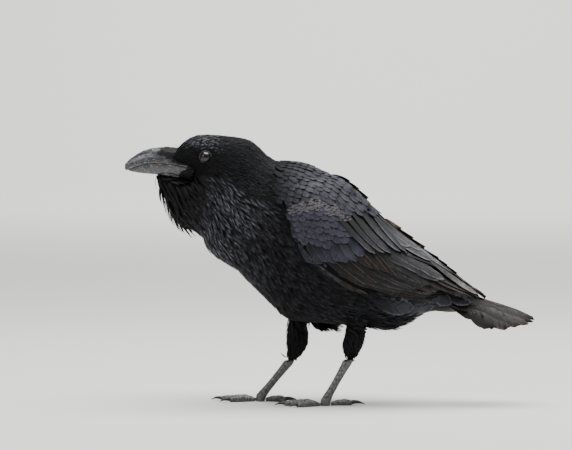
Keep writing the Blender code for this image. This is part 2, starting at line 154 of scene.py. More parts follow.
def inside(outline: Outline, x: float, z: float) -> float:
    """Measures how far a place of the side view lies inside a closed outline.

    Args:
        outline: The outline's corners.
        x: How far the place lies behind the bill's tip.
        z: Its height.

    Returns:
        The distance to the outline, less than zero outside it.
    """
    least, odd = 1e9, False
    for (ax, az), (bx, bz) in zip(outline, outline[1:] + outline[:1]):
        share = ((x - ax) * (bx - ax) + (z - az) * (bz - az)) / ((bx - ax) ** 2 + (bz - az) ** 2)
        share = min(max(share, 0.0), 1.0)
        least = min(least, math.hypot(x - ax - share * (bx - ax), z - az - share * (bz - az)))
        if (az > z) != (bz > z) and x < ax + (z - az) * (bx - ax) / (bz - az):
            odd = not odd
    return least if odd else -least


def add_node(tree: NodeTree, kind: str, values: dict | None = None, links: dict | None = None,
             **settings: object) -> Node:
    """Adds a node to a tree.

    Args:
        tree: The node tree.
        kind: The node's class name without its prefix.
        values: Values for input sockets, by name or index.
        links: What feeds input sockets, by the input's name or index: an output socket, or a node for its first.
        settings: Properties of the node itself.

    Returns:
        The new node.
    """
    node = tree.nodes.new(f"ShaderNode{kind}")
    for key, value in settings.items():
        setattr(node, key, value)
    for key, value in (values or {}).items():
        node.inputs[key].default_value = value
    for key, source in (links or {}).items():
        tree.links.new(source.outputs[0] if isinstance(source, Node) else source, node.inputs[key])
    return node


def blank_material(name: str) -> tuple[Material, NodeTree]:
    """Makes a material with an empty node tree.

    Args:
        name: Its name.

    Returns:
        The material and its tree.
    """
    made = bpy.data.materials.new(name)
    made.use_nodes = True
    made.node_tree.nodes.clear()
    return made, made.node_tree


def select_only(*objects: Object) -> None:
    """Selects these objects alone and makes the last one active."""
    for other in bpy.context.view_layer.objects:
        other.select_set(False)
    for obj in objects:
        obj.select_set(True)
    bpy.context.view_layer.objects.active = objects[-1]


@contextmanager
def editing() -> Iterator[None]:
    """Holds the active object in edit mode with everything selected.

    Yields:
        Nothing.
    """
    bpy.ops.object.mode_set(mode="EDIT")
    bpy.ops.mesh.select_all(action="SELECT")
    yield
    bpy.ops.object.mode_set(mode="OBJECT")


def remesh(obj: Object, voxel: float) -> None:
    """Remeshes an object evenly.

    Args:
        obj: The object.
        voxel: Size of the new faces, in millimetres.
    """
    obj.data.remesh_voxel_size = voxel * MM
    select_only(obj)
    bpy.ops.object.voxel_remesh()


def apply_modifier(obj: Object, kind: str, **settings: object) -> None:
    """Adds a modifier with its settings and applies it.

    Args:
        obj: The object that takes it.
        kind: The modifier's type.
        settings: Its settings.
    """
    modifier = obj.modifiers.new(kind.title(), kind)
    for key, value in settings.items():
        setattr(modifier, key, value)
    select_only(obj)
    bpy.ops.object.modifier_apply(modifier=modifier.name)


def copy_nodes(name: str, *nodes: str, grow: float = 0.0) -> Object:
    """Joins merged copies of CAD nodes into one new object.

    Args:
        name: Name of the new object.
        nodes: The CAD nodes to copy.
        grow: How far each copy swells, in millimetres, so that neighbours fuse.

    Returns:
        The joined object.
    """
    copies = []
    for node in nodes:
        mesh = NODES[node].data.copy()
        mesh.materials.clear()
        copy = bpy.data.objects.new(name, mesh)
        bpy.context.scene.collection.objects.link(copy)
        select_only(copy)
        with editing():
            bpy.ops.mesh.remove_doubles(threshold=1e-6)
            if grow:
                bpy.ops.transform.shrink_fatten(value=grow * MM)
        copies.append(copy)
    select_only(*copies)
    if len(copies) > 1:
        bpy.ops.object.join()
    piece = bpy.context.view_layer.objects.active
    piece.name = name
    while piece.data.uv_layers:
        piece.data.uv_layers.remove(piece.data.uv_layers[0])
    return piece


def smooth_copy(name: str, node: str, voxel: float, passes: int, limit: float) -> Object:
    """Remeshes a copy of a CAD node and smooths its facets without losing its points and edges.

    Args:
        name: Name of the new object.
        node: The CAD node to copy.
        voxel: Size of the new faces, in millimetres.
        passes: How often it is smoothed.
        limit: How far any point may move, in millimetres.

    Returns:
        The smooth copy.
    """
    piece = copy_nodes(name, node)
    remesh(piece, voxel)
    before = coordinates(piece)
    apply_modifier(piece, "SMOOTH", factor=0.5, iterations=passes)
    moved = coordinates(piece) - before
    far = np.maximum(np.linalg.norm(moved, axis=1, keepdims=True), 1e-9)
    move_to(piece, before + moved * np.minimum(1.0, limit * MM / far))
    select_only(piece)
    return piece


def tree_of(obj: Object) -> BVHTree:
    """Search tree over an object's faces."""
    mesh = obj.data
    return BVHTree.FromPolygons([v.co.copy() for v in mesh.vertices], [list(p.vertices) for p in mesh.polygons])


def tree_of_nodes(*nodes: str) -> BVHTree:
    """Makes a search tree over CAD nodes, with their seams closed.

    Args:
        nodes: The nodes.

    Returns:
        The tree.
    """
    scratch = copy_nodes("scratch", *nodes)
    tree = tree_of(scratch)
    bpy.data.objects.remove(scratch)
    return tree


def coordinates(obj: Object) -> np.ndarray:
    """Reads the vertex places of an object.

    Args:
        obj: The object.

    Returns:
        The places in metres, as (n, 3).
    """
    points = np.zeros(len(obj.data.vertices) * 3)
    obj.data.vertices.foreach_get("co", points)
    return points.reshape(-1, 3)


def normals_of(obj: Object) -> np.ndarray:
    """Reads the vertex normals of an object.

    Args:
        obj: The object.

    Returns:
        The normals, as (n, 3).
    """
    normals = np.zeros(len(obj.data.vertices) * 3)
    obj.data.vertex_normals.foreach_get("vector", normals)
    return normals.reshape(-1, 3)


def move_to(obj: Object, points: np.ndarray) -> None:
    """Moves an object's vertices to these places."""
    obj.data.vertices.foreach_set("co", points.ravel())
    obj.data.update()


def dress(obj: Object, material: Material) -> None:
    """Gives an object its material and smooth shading.

    Args:
        obj: The object.
        material: Its material.
    """
    obj.data.materials.append(material)
    select_only(obj)
    bpy.ops.object.shade_smooth()


def hand_over(piece: Object, slot: str, *replaced: str) -> None:
    """Gives a finished piece to the frame and reports it.

    Args:
        piece: The finished piece.
        slot: The material slot that it fills; not used.
        replaced: The CAD nodes that it stands for.
    """
    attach(piece, "root")
    if replaced:
        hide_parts(*replaced)
    piece.data.calc_loop_triangles()
    LOG.info("%s: %d triangles", piece.name, len(piece.data.loop_triangles))


# ---- finishes
@dataclass(frozen=True)
class FeatherKeratin:
    """Black feather keratin: barbs locked into a vane, with the faint cold gloss of its surface.

    dark is the painted shade of a vane and light its painted sheen where its barbs would face the sky,
    rim the colour of its edge, worn pale and mixed in as far as the painted sheen reaches. ridge paints
    shade on the vane towards its edges, root on its hidden part, and outline at the very edge, as a
    painted shadow line where barbs part and the next feather lies in shade. wear is how much the vane is
    faded in blotches, and emerge the stretch along it over which it comes out of the painted shade of the
    feather above. barb is the width of a bundle of barbs in millimetres, coarser than in life so that it
    shows, and streak how much one bundle differs from the next.
    """

    name: str
    dark: str
    light: str
    rim: str
    rim_share: float = 0.0
    ridge: float = 0.0
    root: float = 0.2
    shaft: str = "#000000"
    shaft_width: float = 0.0
    roughness: Pair = (0.6, 0.45)
    gloss: float = 0.2
    barb: float = 0.8
    barb_relief: float = 0.3
    barb_depth: float = 0.4
    barb_turn: float = 0.12
    streak: float = 0.5
    blotches_per_metre: float = 110.0
    wear: float = 0.0
    outline: float = 0.0
    outline_at: Pair = (0.86, 0.98)
    rim_from: float = 0.62
    emerge: Pair = (0.15, 0.7)

    def material(self) -> Material:
        """Builds the material.

        Returns:
            The material, which reads the vane's own attribute and its map in metres.
        """
        made, tree = blank_material(self.name)
        marks = add_node(tree, "SeparateColor", links={"Color": add_node(tree, "Attribute", attribute_name="vane")})
        along, edge, tone = (marks.outputs[k] for k in ("Red", "Green", "Blue"))
        lay = add_node(tree, "SeparateXYZ", links={0: add_node(tree, "UVMap", uv_map="Vane")})
        x, y = lay.outputs["X"], lay.outputs["Y"]
        away = add_node(tree, "Math", links={0: y}, operation="ABSOLUTE")
        # Barbs leave the shaft at about 40 degrees, so the pattern runs along x - |y|.
        slant = add_node(tree, "Math", links={0: x, 1: away}, operation="SUBTRACT")
        across = add_node(tree, "Math", {1: self.barb_turn}, {0: away, 2: tone}, operation="MULTIPLY_ADD")
        place = add_node(tree, "CombineXYZ", links={"X": slant, "Y": across})
        barbs = add_node(tree, "TexNoise", {"Scale": 1.0 / (self.barb * MM), "Detail": 1.0}, {"Vector": place})
        spread = add_node(tree, "CombineXYZ", links={"X": x, "Y": y, "Z": tone})
        patches = add_node(tree, "TexNoise", {"Scale": self.blotches_per_metre, "Detail": 3.0, "Roughness": 0.7},
                           {"Vector": spread})
        # The level runs from painted shade to painted sheen: the tone, dimmed or lifted by the barbs, by painted
        # shade towards the edges, by painted shade where the feather above covers the vane, by a painted shadow line
        # at the very edge, and by blotches of wear.
        level = tone
        for source, curve, ends in (
            (barbs, "LINEAR", (0.3, 0.7, 1.0 - self.streak, 1.0 + self.streak)),
            (edge, "LINEAR", (0.0, 1.0, 1.0, 1.0 - self.ridge)),
            (along, "SMOOTHSTEP", (*self.emerge, self.root, 1.0)),
            (edge, "SMOOTHSTEP", (*self.outline_at, 1.0, 1.0 - self.outline)),
            (patches, "LINEAR", (0.32, 0.68, 1.0 - self.wear, 1.0 + self.wear)),
        ):
            factor = add_node(tree, "MapRange", dict(zip(RANGE, ends)), {"Value": source}, interpolation_type=curve)
            level = add_node(tree, "Math", links={0: level, 1: factor}, operation="MULTIPLY", use_clamp=True)
        colour = add_node(tree, "Mix", {6: linear(self.dark), 7: linear(self.light)}, {0: level}, data_type="RGBA")
        # The rim, worn pale, is mixed in only as strongly as the painted sheen, so it is partly a painted highlight.
        worn = add_node(tree, "MapRange", dict(zip(RANGE, (self.rim_from, 1.0, 0.0, self.rim_share))),
                        {"Value": edge}, interpolation_type="SMOOTHSTEP")
        layers = [(self.rim, add_node(tree, "Math", links={0: worn, 1: level}, operation="MULTIPLY"))]
        if self.shaft_width:
            ends = (0.3 * self.shaft_width * MM, self.shaft_width * MM, 1.0, 0.0)
            layers.append((self.shaft, add_node(tree, "MapRange", dict(zip(RANGE, ends)), {"Value": away},
                                                interpolation_type="SMOOTHSTEP")))
        for tint, share in layers:
            colour = add_node(tree, "Mix", {7: linear(tint)}, {0: share, 6: colour.outputs[2]}, data_type="RGBA")
        polish = add_node(tree, "MapRange", dict(zip(RANGE, (0.0, 1.0, *self.roughness))), {"Value": level})
        bump = add_node(tree, "Bump", {"Strength": self.barb_relief, "Distance": self.barb_depth * MM},
                        {"Height": barbs})
        shader = add_node(tree, "BsdfPrincipled", {"Specular IOR Level": self.gloss},
                          {"Base Color": colour.outputs[2], "Roughness": polish, "Normal": bump})
        add_node(tree, "OutputMaterial", links={"Surface": shader})
        return made


@dataclass(frozen=True)
class Marks:
    """Sparse marks on horn, in one colour, where a noise lies between two levels.

    per_millimetre is how fine the noise is, drag how far it is drawn out along the bird (less than one
    is longer), and where names a vertex attribute outside which there are none.
    """

    tint: str
    per_millimetre: float
    drag: float
    levels: Pair
    where: str = ""


@dataclass(frozen=True)
class MottledHorn:
    """Horn, scale or bare skin: a solid colour broken by growth marks of one grain, and by sparse marks.

    joint is the colour of the part of a plate that lies under the next one.
    """

    name: str
    dark: str
    light: str
    grain: float = 2.0
    stretch: Triple = (1.0, 1.0, 1.0)
    roughness: float = 0.4
    relief: float = 0.25
    gloss: float = 0.5
    marks: tuple[Marks, ...] = ()
    joint: str = ""
    joint_at: Pair = (0.28, 0.5)
    relief_depth: float = 0.3

    def material(self) -> Material:
        """Builds the material.

        Returns:
            The material, on Object coordinates.
        """
        made, tree = blank_material(self.name)
        here = add_node(tree, "TexCoord").outputs["Object"]
        drawn = add_node(tree, "Mapping", {"Scale": self.stretch}, {"Vector": here})
        grain = self.grain * MM
        broad = add_node(tree, "TexNoise", {"Scale": 0.25 / grain, "Detail": 2.0}, {"Vector": drawn})
        fine = add_node(tree, "TexNoise", {"Scale": 1.0 / grain, "Detail": 4.0, "Roughness": 0.65}, {"Vector": drawn})
        both = add_node(tree, "Math", links={0: broad, 1: fine}, operation="MULTIPLY")
        level = add_node(tree, "MapRange", dict(zip(RANGE, (0.14, 0.38))), {"Value": both})
        colour = add_node(tree, "Mix", {6: linear(self.dark), 7: linear(self.light)}, {0: level}, data_type="RGBA")
        layers = []
        if self.joint:
            lay = add_node(tree, "SeparateColor", links={"Color": add_node(tree, "Attribute", attribute_name="vane")})
            layers.append((self.joint, add_node(tree, "MapRange", dict(zip(RANGE, (*self.joint_at, 1.0, 0.0))),
                                                {"Value": lay.outputs["Red"]}, interpolation_type="SMOOTHSTEP")))
        for mark in self.marks:
            run = add_node(tree, "Mapping", {"Scale": (mark.drag, 1.0, 1.0)}, {"Vector": here})
            spots = add_node(tree, "TexNoise", {"Scale": mark.per_millimetre / MM, "Detail": 2.0}, {"Vector": run})
            if mark.where:
                place = add_node(tree, "Attribute", attribute_name=mark.where)
                spots = add_node(tree, "Math", links={0: spots, 1: place.outputs["Fac"]}, operation="MULTIPLY")
            layers.append((mark.tint, add_node(tree, "MapRange", dict(zip(RANGE, mark.levels)), {"Value": spots})))
        for tint, share in layers:
            colour = add_node(tree, "Mix", {7: linear(tint)}, {0: share, 6: colour.outputs[2]}, data_type="RGBA")
        bump = add_node(tree, "Bump", {"Strength": self.relief, "Distance": self.relief_depth * MM}, {"Height": fine})
        shader = add_node(tree, "BsdfPrincipled", {"Roughness": self.roughness, "Specular IOR Level": self.gloss},
                          {"Base Color": colour.outputs[2], "Normal": bump})
        add_node(tree, "OutputMaterial", links={"Surface": shader})
        return made


# Head and neck: loose barbs at the tip scatter the light, which leaves the head almost matt.
VELVET = FeatherKeratin(
    "matt_head_feather", "#050506", "#2e3032", "#2e3032", ridge=0.3, root=0.6, roughness=(0.75, 0.45),
    gloss=0.12, streak=0.3,
)
# Forehead feathers are stiff and scale-like, and each one is given a small painted glint.
CROWN = FeatherKeratin(
    "stiff_crown_feather", "#040405", "#484a52", "#666972", rim_share=0.7, root=0.0, roughness=(0.7, 0.35),
    gloss=0.25, outline=0.8, emerge=(0.3, 0.9),
)
# Throat hackles are narrow and smooth, with a long grey-violet glint painted down the middle.
HACKLE = FeatherKeratin(
    "glossy_throat_hackle", "#030304", "#60606b", "#60606b", ridge=1.0, root=0.0, roughness=(0.7, 0.38),
    streak=0.3,
)
# Breast and belly feathers are soft, open barbed and nearly black.
SOFT = FeatherKeratin(
    "soft_belly_feather", "#040405", "#3c3d43", "#3c3d43", ridge=0.5, roughness=(0.75, 0.45), gloss=0.12,
)
# Under the tail: large soft feathers with a grey-blue rim.
SOFT_RIM = FeatherKeratin(
    "rimmed_under_tail_covert", "#070709", "#2d2e34", "#5e606b", rim_share=0.7, roughness=(0.75, 0.45),
    gloss=0.15, barb=1.8, streak=0.7, wear=0.3,
)
# Mantle and scapulars: smooth round vanes with a painted cold sheen and a paler worn rim.
MANTLE = FeatherKeratin(
    "satin_scapular_feather", "#050507", "#37373e", "#50515a", rim_share=0.7, ridge=0.1, root=0.3,
    roughness=(0.7, 0.45), gloss=0.12, barb=1.4, wear=0.25, outline=0.6, emerge=(0.36, 0.74),
)
# Lesser coverts: tiny scales with bleached brownish rims.
LESSER = FeatherKeratin(
    "scaled_lesser_covert", "#0a090b", "#444149", "#726b65", rim_share=0.8, root=0.0, gloss=0.25, outline=0.4,
    emerge=(0.35, 0.85),
)
# Wing coverts: the same keratin with a stronger violet-blue painted sheen.
COVERT = FeatherKeratin(
    "violet_wing_covert", "#070709", "#373742", "#52515c", rim_share=0.6, root=0.4, shaft="#101015",
    shaft_width=0.3, roughness=(0.65, 0.45), barb=1.4, wear=0.3, outline=0.8, emerge=(0.36, 0.7),
)
# Old coverts have bleached to brown, with a pale shaft.
BROWN = FeatherKeratin(
    "bleached_primary_covert", "#080706", "#241e1b", "#3e352f", rim_share=0.6, shaft="#5a4f45", shaft_width=0.3,
    barb=1.8, streak=0.9, wear=0.6, outline=0.7, emerge=(0.3, 0.8),
)
# Secondaries and tertials: long smooth satin vanes, painted grey-blue where the sky would strike them.
SECONDARY = FeatherKeratin(
    "satin_flight_feather", "#060607", "#2f2f33", "#68686d", rim_share=0.9, root=0.05, shaft="#0c0b0d",
    shaft_width=0.6, roughness=(0.6, 0.4), gloss=0.3, barb=2.2, streak=0.8, wear=0.5, outline=0.9,
    emerge=(0.3, 0.8),
)
# Tertials lie on top and weather most: paler, with a light frayed edge along the upper side, worn and lifted by a
# painted highlight.
TERTIAL = FeatherKeratin(
    "weathered_tertial_feather", "#080808", "#424144", "#858589", rim_share=0.9, root=0.1, shaft="#121113",
    shaft_width=0.6, roughness=(0.6, 0.4), gloss=0.3, barb=1.4, wear=0.5, outline=0.35, emerge=(0.3, 0.8),
)
# Inner webs of the longest feathers, faded to brown-grey.
FADED = FeatherKeratin(
    "faded_flight_feather", "#070605", "#2b2724", "#504a45", rim_share=0.8, root=0.1, shaft="#0c0a09",
    shaft_width=0.5, gloss=0.25, barb=2.2, streak=0.9, wear=0.6, outline=0.9, emerge=(0.3, 0.8),
)
# The tips that stick out furthest have worn pale and dull.
WORN = FeatherKeratin(
    "worn_wing_tip", "#1a1918", "#716e69", "#908c85", rim_share=0.7, roughness=(0.6, 0.5), gloss=0.25, barb=2.2,
    streak=0.8, wear=0.6, outline=0.8, emerge=(0.4, 0.8),
)
# Sun has turned the outermost edges of the far wing rusty.
RUSTY = FeatherKeratin(
    "rusty_feather_edge", "#120a06", "#44301f", "#6b5340", rim_share=0.8, root=0.3, roughness=(0.7, 0.5),
    barb=2.0, streak=0.7, wear=0.4,
)
# Tail feathers: worn brown-black vanes.
RECTRIX = FeatherKeratin(
    "worn_tail_feather", "#050404", "#2b2522", "#5e4c40", rim_share=0.8, shaft="#0e0b0a", shaft_width=0.6,
    barb=2.2, streak=0.9, wear=0.7, outline=0.95,
)
# Nasal bristles: stiff bare shafts, brown-black and a little shiny.
BRISTLE = FeatherKeratin(
    "stiff_nasal_bristle", "#030303", "#302d2a", "#302d2a", ridge=0.9, roughness=(0.6, 0.4),
)
# Skin shows nowhere but in the gaps between feathers; it is painted black as the shade there, and so are the plates
# under wings and tail and the mouth's filling.
SHADE_BLACK = MottledHorn("painted_shade_black", "#050506", "#0c0c0e", 3.0, roughness=0.85, gloss=0.1)
# Bill: polished dark horn with length-wise scratches, chipped to a warm brown along the cutting edges, with
# light painted in: a highlight along the ridge and a paler band of light thrown up onto the lower edge.
# Scratches are hair-fine in life; 0.8 mm broad here, so that they show.
HORN = MottledHorn("grey_bill_horn", "#1d1e20", "#434448", 0.7, (0.3, 1.0, 1.0), 0.27, 0.25, 0.7, marks=(
    Marks("#9a9ba0", 1.2, 0.12, (0.57, 0.80)),
    Marks("#9a9ba0", 0.9, 0.8, (0.65, 0.80)),
    Marks("#a5683c", 0.5, 0.25, (0.54, 0.62), "edge"),
    # Painted light where "brim" is high: a highlight on the ridge and light thrown up onto the lower edge.
    Marks("#8f8881", 0.5, 0.5, (0.25, 0.55), "painted_light"),
))
# Bare leg: dull grey plates of horn with black in the joints between them.
SCUTE = MottledHorn("grey_leg_scale", "#1c1c1e", "#6a6a68", 0.5, (1.0, 1.0, 0.5), 0.42, 0.3)
# Plates down the front of shank and toes: paler than the sides, and black where one slides under the next.
PLATE = MottledHorn("pale_leg_plate", "#303032", "#7d7d7a", 0.5, (1.0, 1.0, 0.5), 0.38, 0.3, joint="#060606")
CLAW = MottledHorn("black_claw_horn", "#0a0a0b", "#1f1f21", 1.5, (0.4, 1.0, 1.0), 0.28, 0.15)
LID = MottledHorn("grey_eyelid_skin", "#0b0b0c", "#444447", 0.35, roughness=0.7, relief=0.6, gloss=0.15)


# ---- feathers
def fray(along: np.ndarray, across: np.ndarray, notches: int = 3) -> np.ndarray:
    """Wears a large feather: in a few places barbs have parted and the edge steps in.

    Args:
        along: The share of the length at which each vertex lies.
        across: Its share of the half width.
        notches: How many places.

    Returns:
        The share of the half width that is left at each vertex.
    """
    kept = np.ones_like(along)
    for _ in range(notches):
        place, flank = RNG.uniform(0.5, 0.97), RNG.choice((-1.0, 1.0))
        depth, wide = RNG.uniform(0.05, 0.30), RNG.uniform(0.015, 0.05)
        kept -= depth * np.exp(-(((along - place) / wide) ** 2)) * (across * flank > 0.0)
    return np.maximum(kept, 0.3)


@dataclass(frozen=True)
class Vane:
    """The shape of one kind of feather, on a length and a half width of one.

    rows and columns are its faces along and across, widest the share of the length at which it is
    widest, root its width where it starts, point the roundness of its tip (0.5 round, 1 pointed).
    """

    rows: int = 4
    columns: int = 2
    widest: float = 0.55
    root: float = 0.35
    point: float = 0.5

    def half_width(self, along: np.ndarray) -> np.ndarray:
        """Works out the half width at each share of the length.

        Args:
            along: Shares of the length.

        Returns:
            Shares of the greatest half width.
        """
        rise = self.root + (1.0 - self.root) * np.sin(np.pi / 2.0 * np.minimum(along / self.widest, 1.0))
        fall = np.maximum(1.0 - np.maximum((along - self.widest) / (1.0 - self.widest), 0.0) ** 2, 0.0)
        return rise * np.maximum(fall, 0.0) ** self.point

    def template(self) -> tuple[np.ndarray, list[tuple[int, ...]]]:
        """Models the vane once: a grid given a thickness, whose rim is closed to an edge.

        Returns:
            Its vertices as (share along, share across, side of the thickness), and its faces.
        """
        bpy.ops.mesh.primitive_grid_add(x_subdivisions=self.rows, y_subdivisions=self.columns, size=1.0,
                                        location=(0.5, 0.0, 0.0))
        blank = bpy.context.view_layer.objects.active
        bpy.ops.object.transform_apply(location=True, rotation=False, scale=False)
        apply_modifier(blank, "SOLIDIFY", thickness=1.0, offset=0.0)
        for vertex in blank.data.vertices:
            if min(vertex.co.x, 1.0 - vertex.co.x, 0.5 - abs(vertex.co.y)) < 1e-4:
                vertex.co.z = 0.0
        with editing():
            bpy.ops.mesh.remove_doubles(threshold=1e-4)
        points = coordinates(blank) * (1.0, 2.0, 2.0)
        faces = [tuple(p.vertices) for p in blank.data.polygons]
        bpy.data.objects.remove(blank)
        return points, faces


class FeatherMesh:
    """Collects many feathers of one kind into one mesh with its attribute and its maps."""

    def __init__(self, name: str, vane: Vane, finish: FeatherKeratin) -> None:
        """Starts an empty piece.

        Args:
            name: Name of the piece.
            vane: Shape of its feathers.
            finish: Their finish.
        """
        self.name, self.vane, self.finish = name, vane, finish
        self.tip = 1.0 - 0.5 * (1.0 - vane.widest)
        self.shape, self.faces = vane.template()
        self.points: list[np.ndarray] = []
        self.marks: list[np.ndarray] = []
        self.maps: list[np.ndarray] = []
        self.roots: list[np.ndarray] = []
        self.flipped: list[bool] = []

    def add(self, points: np.ndarray, tones: np.ndarray, lengths: np.ndarray, widths: np.ndarray,
            roots: np.ndarray | None = None, flipped: bool = False) -> None:
        """Adds placed feathers.

        Args:
            points: Their vertices in metres, as (feather, vertex, 3).
            tones: How much painted sheen each feather has, from 0 to 1.
            lengths: Their lengths in millimetres.
            widths: Their full widths in millimetres.
            roots: The place of each root on the unwrap of what it grows from, where the piece uses it.
            flipped: Whether they were mirrored, so that their faces have to turn round.
        """
        along, across = self.shape[:, 0], self.shape[:, 1]
        half = self.vane.half_width(along) * across
        edge = np.maximum(np.abs(across), np.clip((along - self.tip) / (1.0 - self.tip), 0.0, 1.0))
        for k, vertices in enumerate(points):
            tone = np.full_like(along, tones[k])
            self.points.append(vertices)
            self.flipped.append(flipped)
            self.marks.append(np.stack([along, edge, tone, np.ones_like(along)], 1))
            self.maps.append(np.stack([along * lengths[k], half * 0.5 * widths[k]], 1) * MM)
            if roots is not None:
                offset = np.stack([along - 0.5, half * 0.5 * widths[k] / lengths[k]], 1) * TUFT_PATCH
                self.roots.append(roots[k] + offset)

    def build(self) -> Object:
        """Makes the mesh object.

        Returns:
            The finished piece with its material.
        """
        count, size = len(self.points), len(self.shape)
        mesh = bpy.data.meshes.new(self.name)
        forward = np.concatenate([np.array(f) for f in self.faces])
        backward = np.concatenate([np.array(f[::-1]) for f in self.faces])
        sizes = np.array([len(f) for f in self.faces])
        loops = np.concatenate([(backward if self.flipped[k] else forward) + k * size for k in range(count)])
        totals = np.tile(sizes, count)
        mesh.vertices.add(count * size)
        mesh.loops.add(len(loops))
        mesh.polygons.add(len(totals))
        # Feathers fold against the outermost surface, so none makes the bird larger than its solids.
        points = np.clip(np.concatenate(self.points), *CAD_BOX)
        starts = np.concatenate([[0], np.cumsum(totals)[:-1]])
        for rows, key, values, kind in (
            (mesh.vertices, "co", points, np.float32),
            (mesh.loops, "vertex_index", loops, np.int32),
            (mesh.polygons, "loop_start", starts, np.int32),
            (mesh.polygons, "loop_total", totals, np.int32),
            (mesh.polygons, "use_smooth", np.ones(len(totals)), bool),
        ):
            rows.foreach_set(key, values.astype(kind).ravel())
        mesh.update(calc_edges=True)
        mark = mesh.attributes.new("vane", "FLOAT_COLOR", "POINT")
        mark.data.foreach_set("color", np.concatenate(self.marks).astype(np.float32).ravel())
        bake = np.concatenate(self.roots) if self.roots else self.cells()
        for name, spots in (("Vane", np.concatenate(self.maps)), ("OFBake", bake)):
            chart = mesh.uv_layers.new(name=name)
            chart.data.foreach_set("uv", spots[loops].astype(np.float32).ravel())
        mesh.materials.append(self.finish.material())
        mesh.validate()
        piece = bpy.data.objects.new(self.name, mesh)
        bpy.context.scene.collection.objects.link(piece)
        select_only(piece)
        bpy.ops.object.shade_smooth_by_angle(angle=math.radians(75.0))
        return piece

    def cells(self) -> np.ndarray:
        """Lays big feathers out side by side, one cell each, since each needs more than a patch.

        Returns:
            A place on the map for each vertex.
        """
        side = math.ceil(math.sqrt(len(self.points)))
        along, across = self.shape[:, 0], self.shape[:, 1]
        spots = []
        for k in range(len(self.points)):
            corner = np.array((k % side, k // side)) + CELL_MARGIN
            spots.append((corner + (1.0 - 2.0 * CELL_MARGIN) * np.stack([along, 0.5 + 0.5 * across], 1)) / side)
        return np.concatenate(spots)


# ---- skin
@dataclass
class Skin:
    """One closed skin over head, neck, trunk and thighs, a coat's depth inside the solids.

    depths_at is where the depths of face, neck and body hold, measured along lines that lean. Within
    bare_margin of the bare bill the skin draws in to under_horn below its surface.
    """

    nodes: tuple[str, ...] = ("head", "neck", "trunk", "thigh_left", "thigh_right")
    weld: float = 0.6
    voxel: float = 2.0
    face_depth: float = 0.9
    neck_depth: float = 2.0
    body_depth: float = 3.0
    thigh_depth: float = 2.2
    depths_at: Triple = (70.0, 120.0, 190.0)
    depth_lean: Pair = (0.5, 300.0)
    thigh_top: float = 104.0
    thigh_fade: float = 12.0
    under_horn: float = 1.2
    bare_core: float = 3.5
    bare_margin: float = 2.5
    bare_fade: float = 3.0
    piece: Object = field(init=False)
    tree: BVHTree = field(init=False)

    def depth(self, places: np.ndarray) -> np.ndarray:
        """Works out how deep the coat is.

        Args:
            places: Places in millimetres.

        Returns:
            The depth over each place, in millimetres.
        """
        x, z = places[:, 0], places[:, 2]
        lean, height = self.depth_lean
        depth = np.interp(x - lean * (z - height), self.depths_at,
                          (self.face_depth, self.neck_depth, self.body_depth))
        legs = np.clip((self.thigh_top - z) / self.thigh_fade, 0.0, 1.0)
        return depth + (self.thigh_depth - depth) * legs

    def build(self) -> Object:
        """Joins, remeshes, sinks and unwraps the skin.

        Returns:
            The finished piece.
        """
        skin = copy_nodes("skin", *self.nodes, grow=self.weld)
        remesh(skin, self.voxel)
        apply_modifier(skin, "SMOOTH", factor=0.5, iterations=6)
        points = coordinates(skin)
        sunk = points - normals_of(skin) * (self.depth(in_mm(points))[:, None] + self.weld) * MM
        self.bare(sunk)
        move_to(skin, sunk)
        apply_modifier(skin, "SMOOTH", factor=0.5, iterations=2)
        with editing():
            bpy.ops.uv.smart_project(angle_limit=math.radians(66.0), island_margin=0.004)
        skin.data.uv_layers[0].name = "OFBake"
        dress(skin, SHADE_BLACK.material())
        self.piece, self.tree = skin, tree_of(skin)
        return skin

    def bare(self, points: np.ndarray) -> None:
        """Draws the skin in behind the sides of the bill, so that they show back to the mouth's corner.

        Args:
            points: The skin's vertices in metres, which are changed in place.
        """
        tree = tree_of_nodes("bill_upper", "bill_lower")
        low, high = np.min(BARE_BILL, axis=0) - self.bare_margin, np.max(BARE_BILL, axis=0) + self.bare_margin
        for k, (x, y, z) in enumerate(in_mm(points)):
            if abs(y) < self.bare_core or not (low[0] < x < high[0] and low[1] < z < high[1]):
                continue
            depth = inside(BARE_BILL, x, z)
            if depth < -self.bare_margin:
                continue
            flank = math.copysign(1.0, y)
            hit = tree.ray_cast(at(x, flank * 60.0, z), Vector((0.0, -flank, 0.0)), 60.0 * MM)[0]
            flat = abs(hit.y) / MM - self.under_horn if hit is not None else self.bare_core
            share = min(max((depth + self.bare_margin) / self.bare_fade, 0.0), 1.0)
            share = share * share * (3.0 - 2.0 * share)
            points[k, 1] = flank * (abs(y) + (min(abs(y), flat) - abs(y)) * share) * MM

    def scatter(self, count: int) -> tuple[np.ndarray, np.ndarray, np.ndarray]:
        """Scatters points evenly over the skin.

        Args:
            count: How many points.

        Returns:
            Their places, the normals there and their places on the skin's unwrap.
        """
        mesh = self.piece.data
        mesh.calc_loop_triangles()
        corners = np.zeros(len(mesh.loop_triangles) * 3, np.int32)
        mesh.loop_triangles.foreach_get("vertices", corners)
        loops = np.zeros(len(corners), np.int32)
        mesh.loop_triangles.foreach_get("loops", loops)
        points = coordinates(self.piece)[corners.reshape(-1, 3)]
        chart = np.zeros(len(mesh.loops) * 2)
        mesh.uv_layers["OFBake"].data.foreach_get("uv", chart)
        chart = chart.reshape(-1, 2)[loops.reshape(-1, 3)]
        cross = np.cross(points[:, 1] - points[:, 0], points[:, 2] - points[:, 0])
        area = np.linalg.norm(cross, axis=1)
        picked = RNG.choice(len(area), count, p=area / area.sum())
        share = RNG.random((count, 2))
        fold = share.sum(1) > 1.0
        share[fold] = 1.0 - share[fold]
        weights = np.stack([1.0 - share.sum(1), share[:, 0], share[:, 1]], 1)[:, :, None]
        return (points[picked] * weights).sum(1), unit(cross[picked]), (chart[picked] * weights).sum(1)
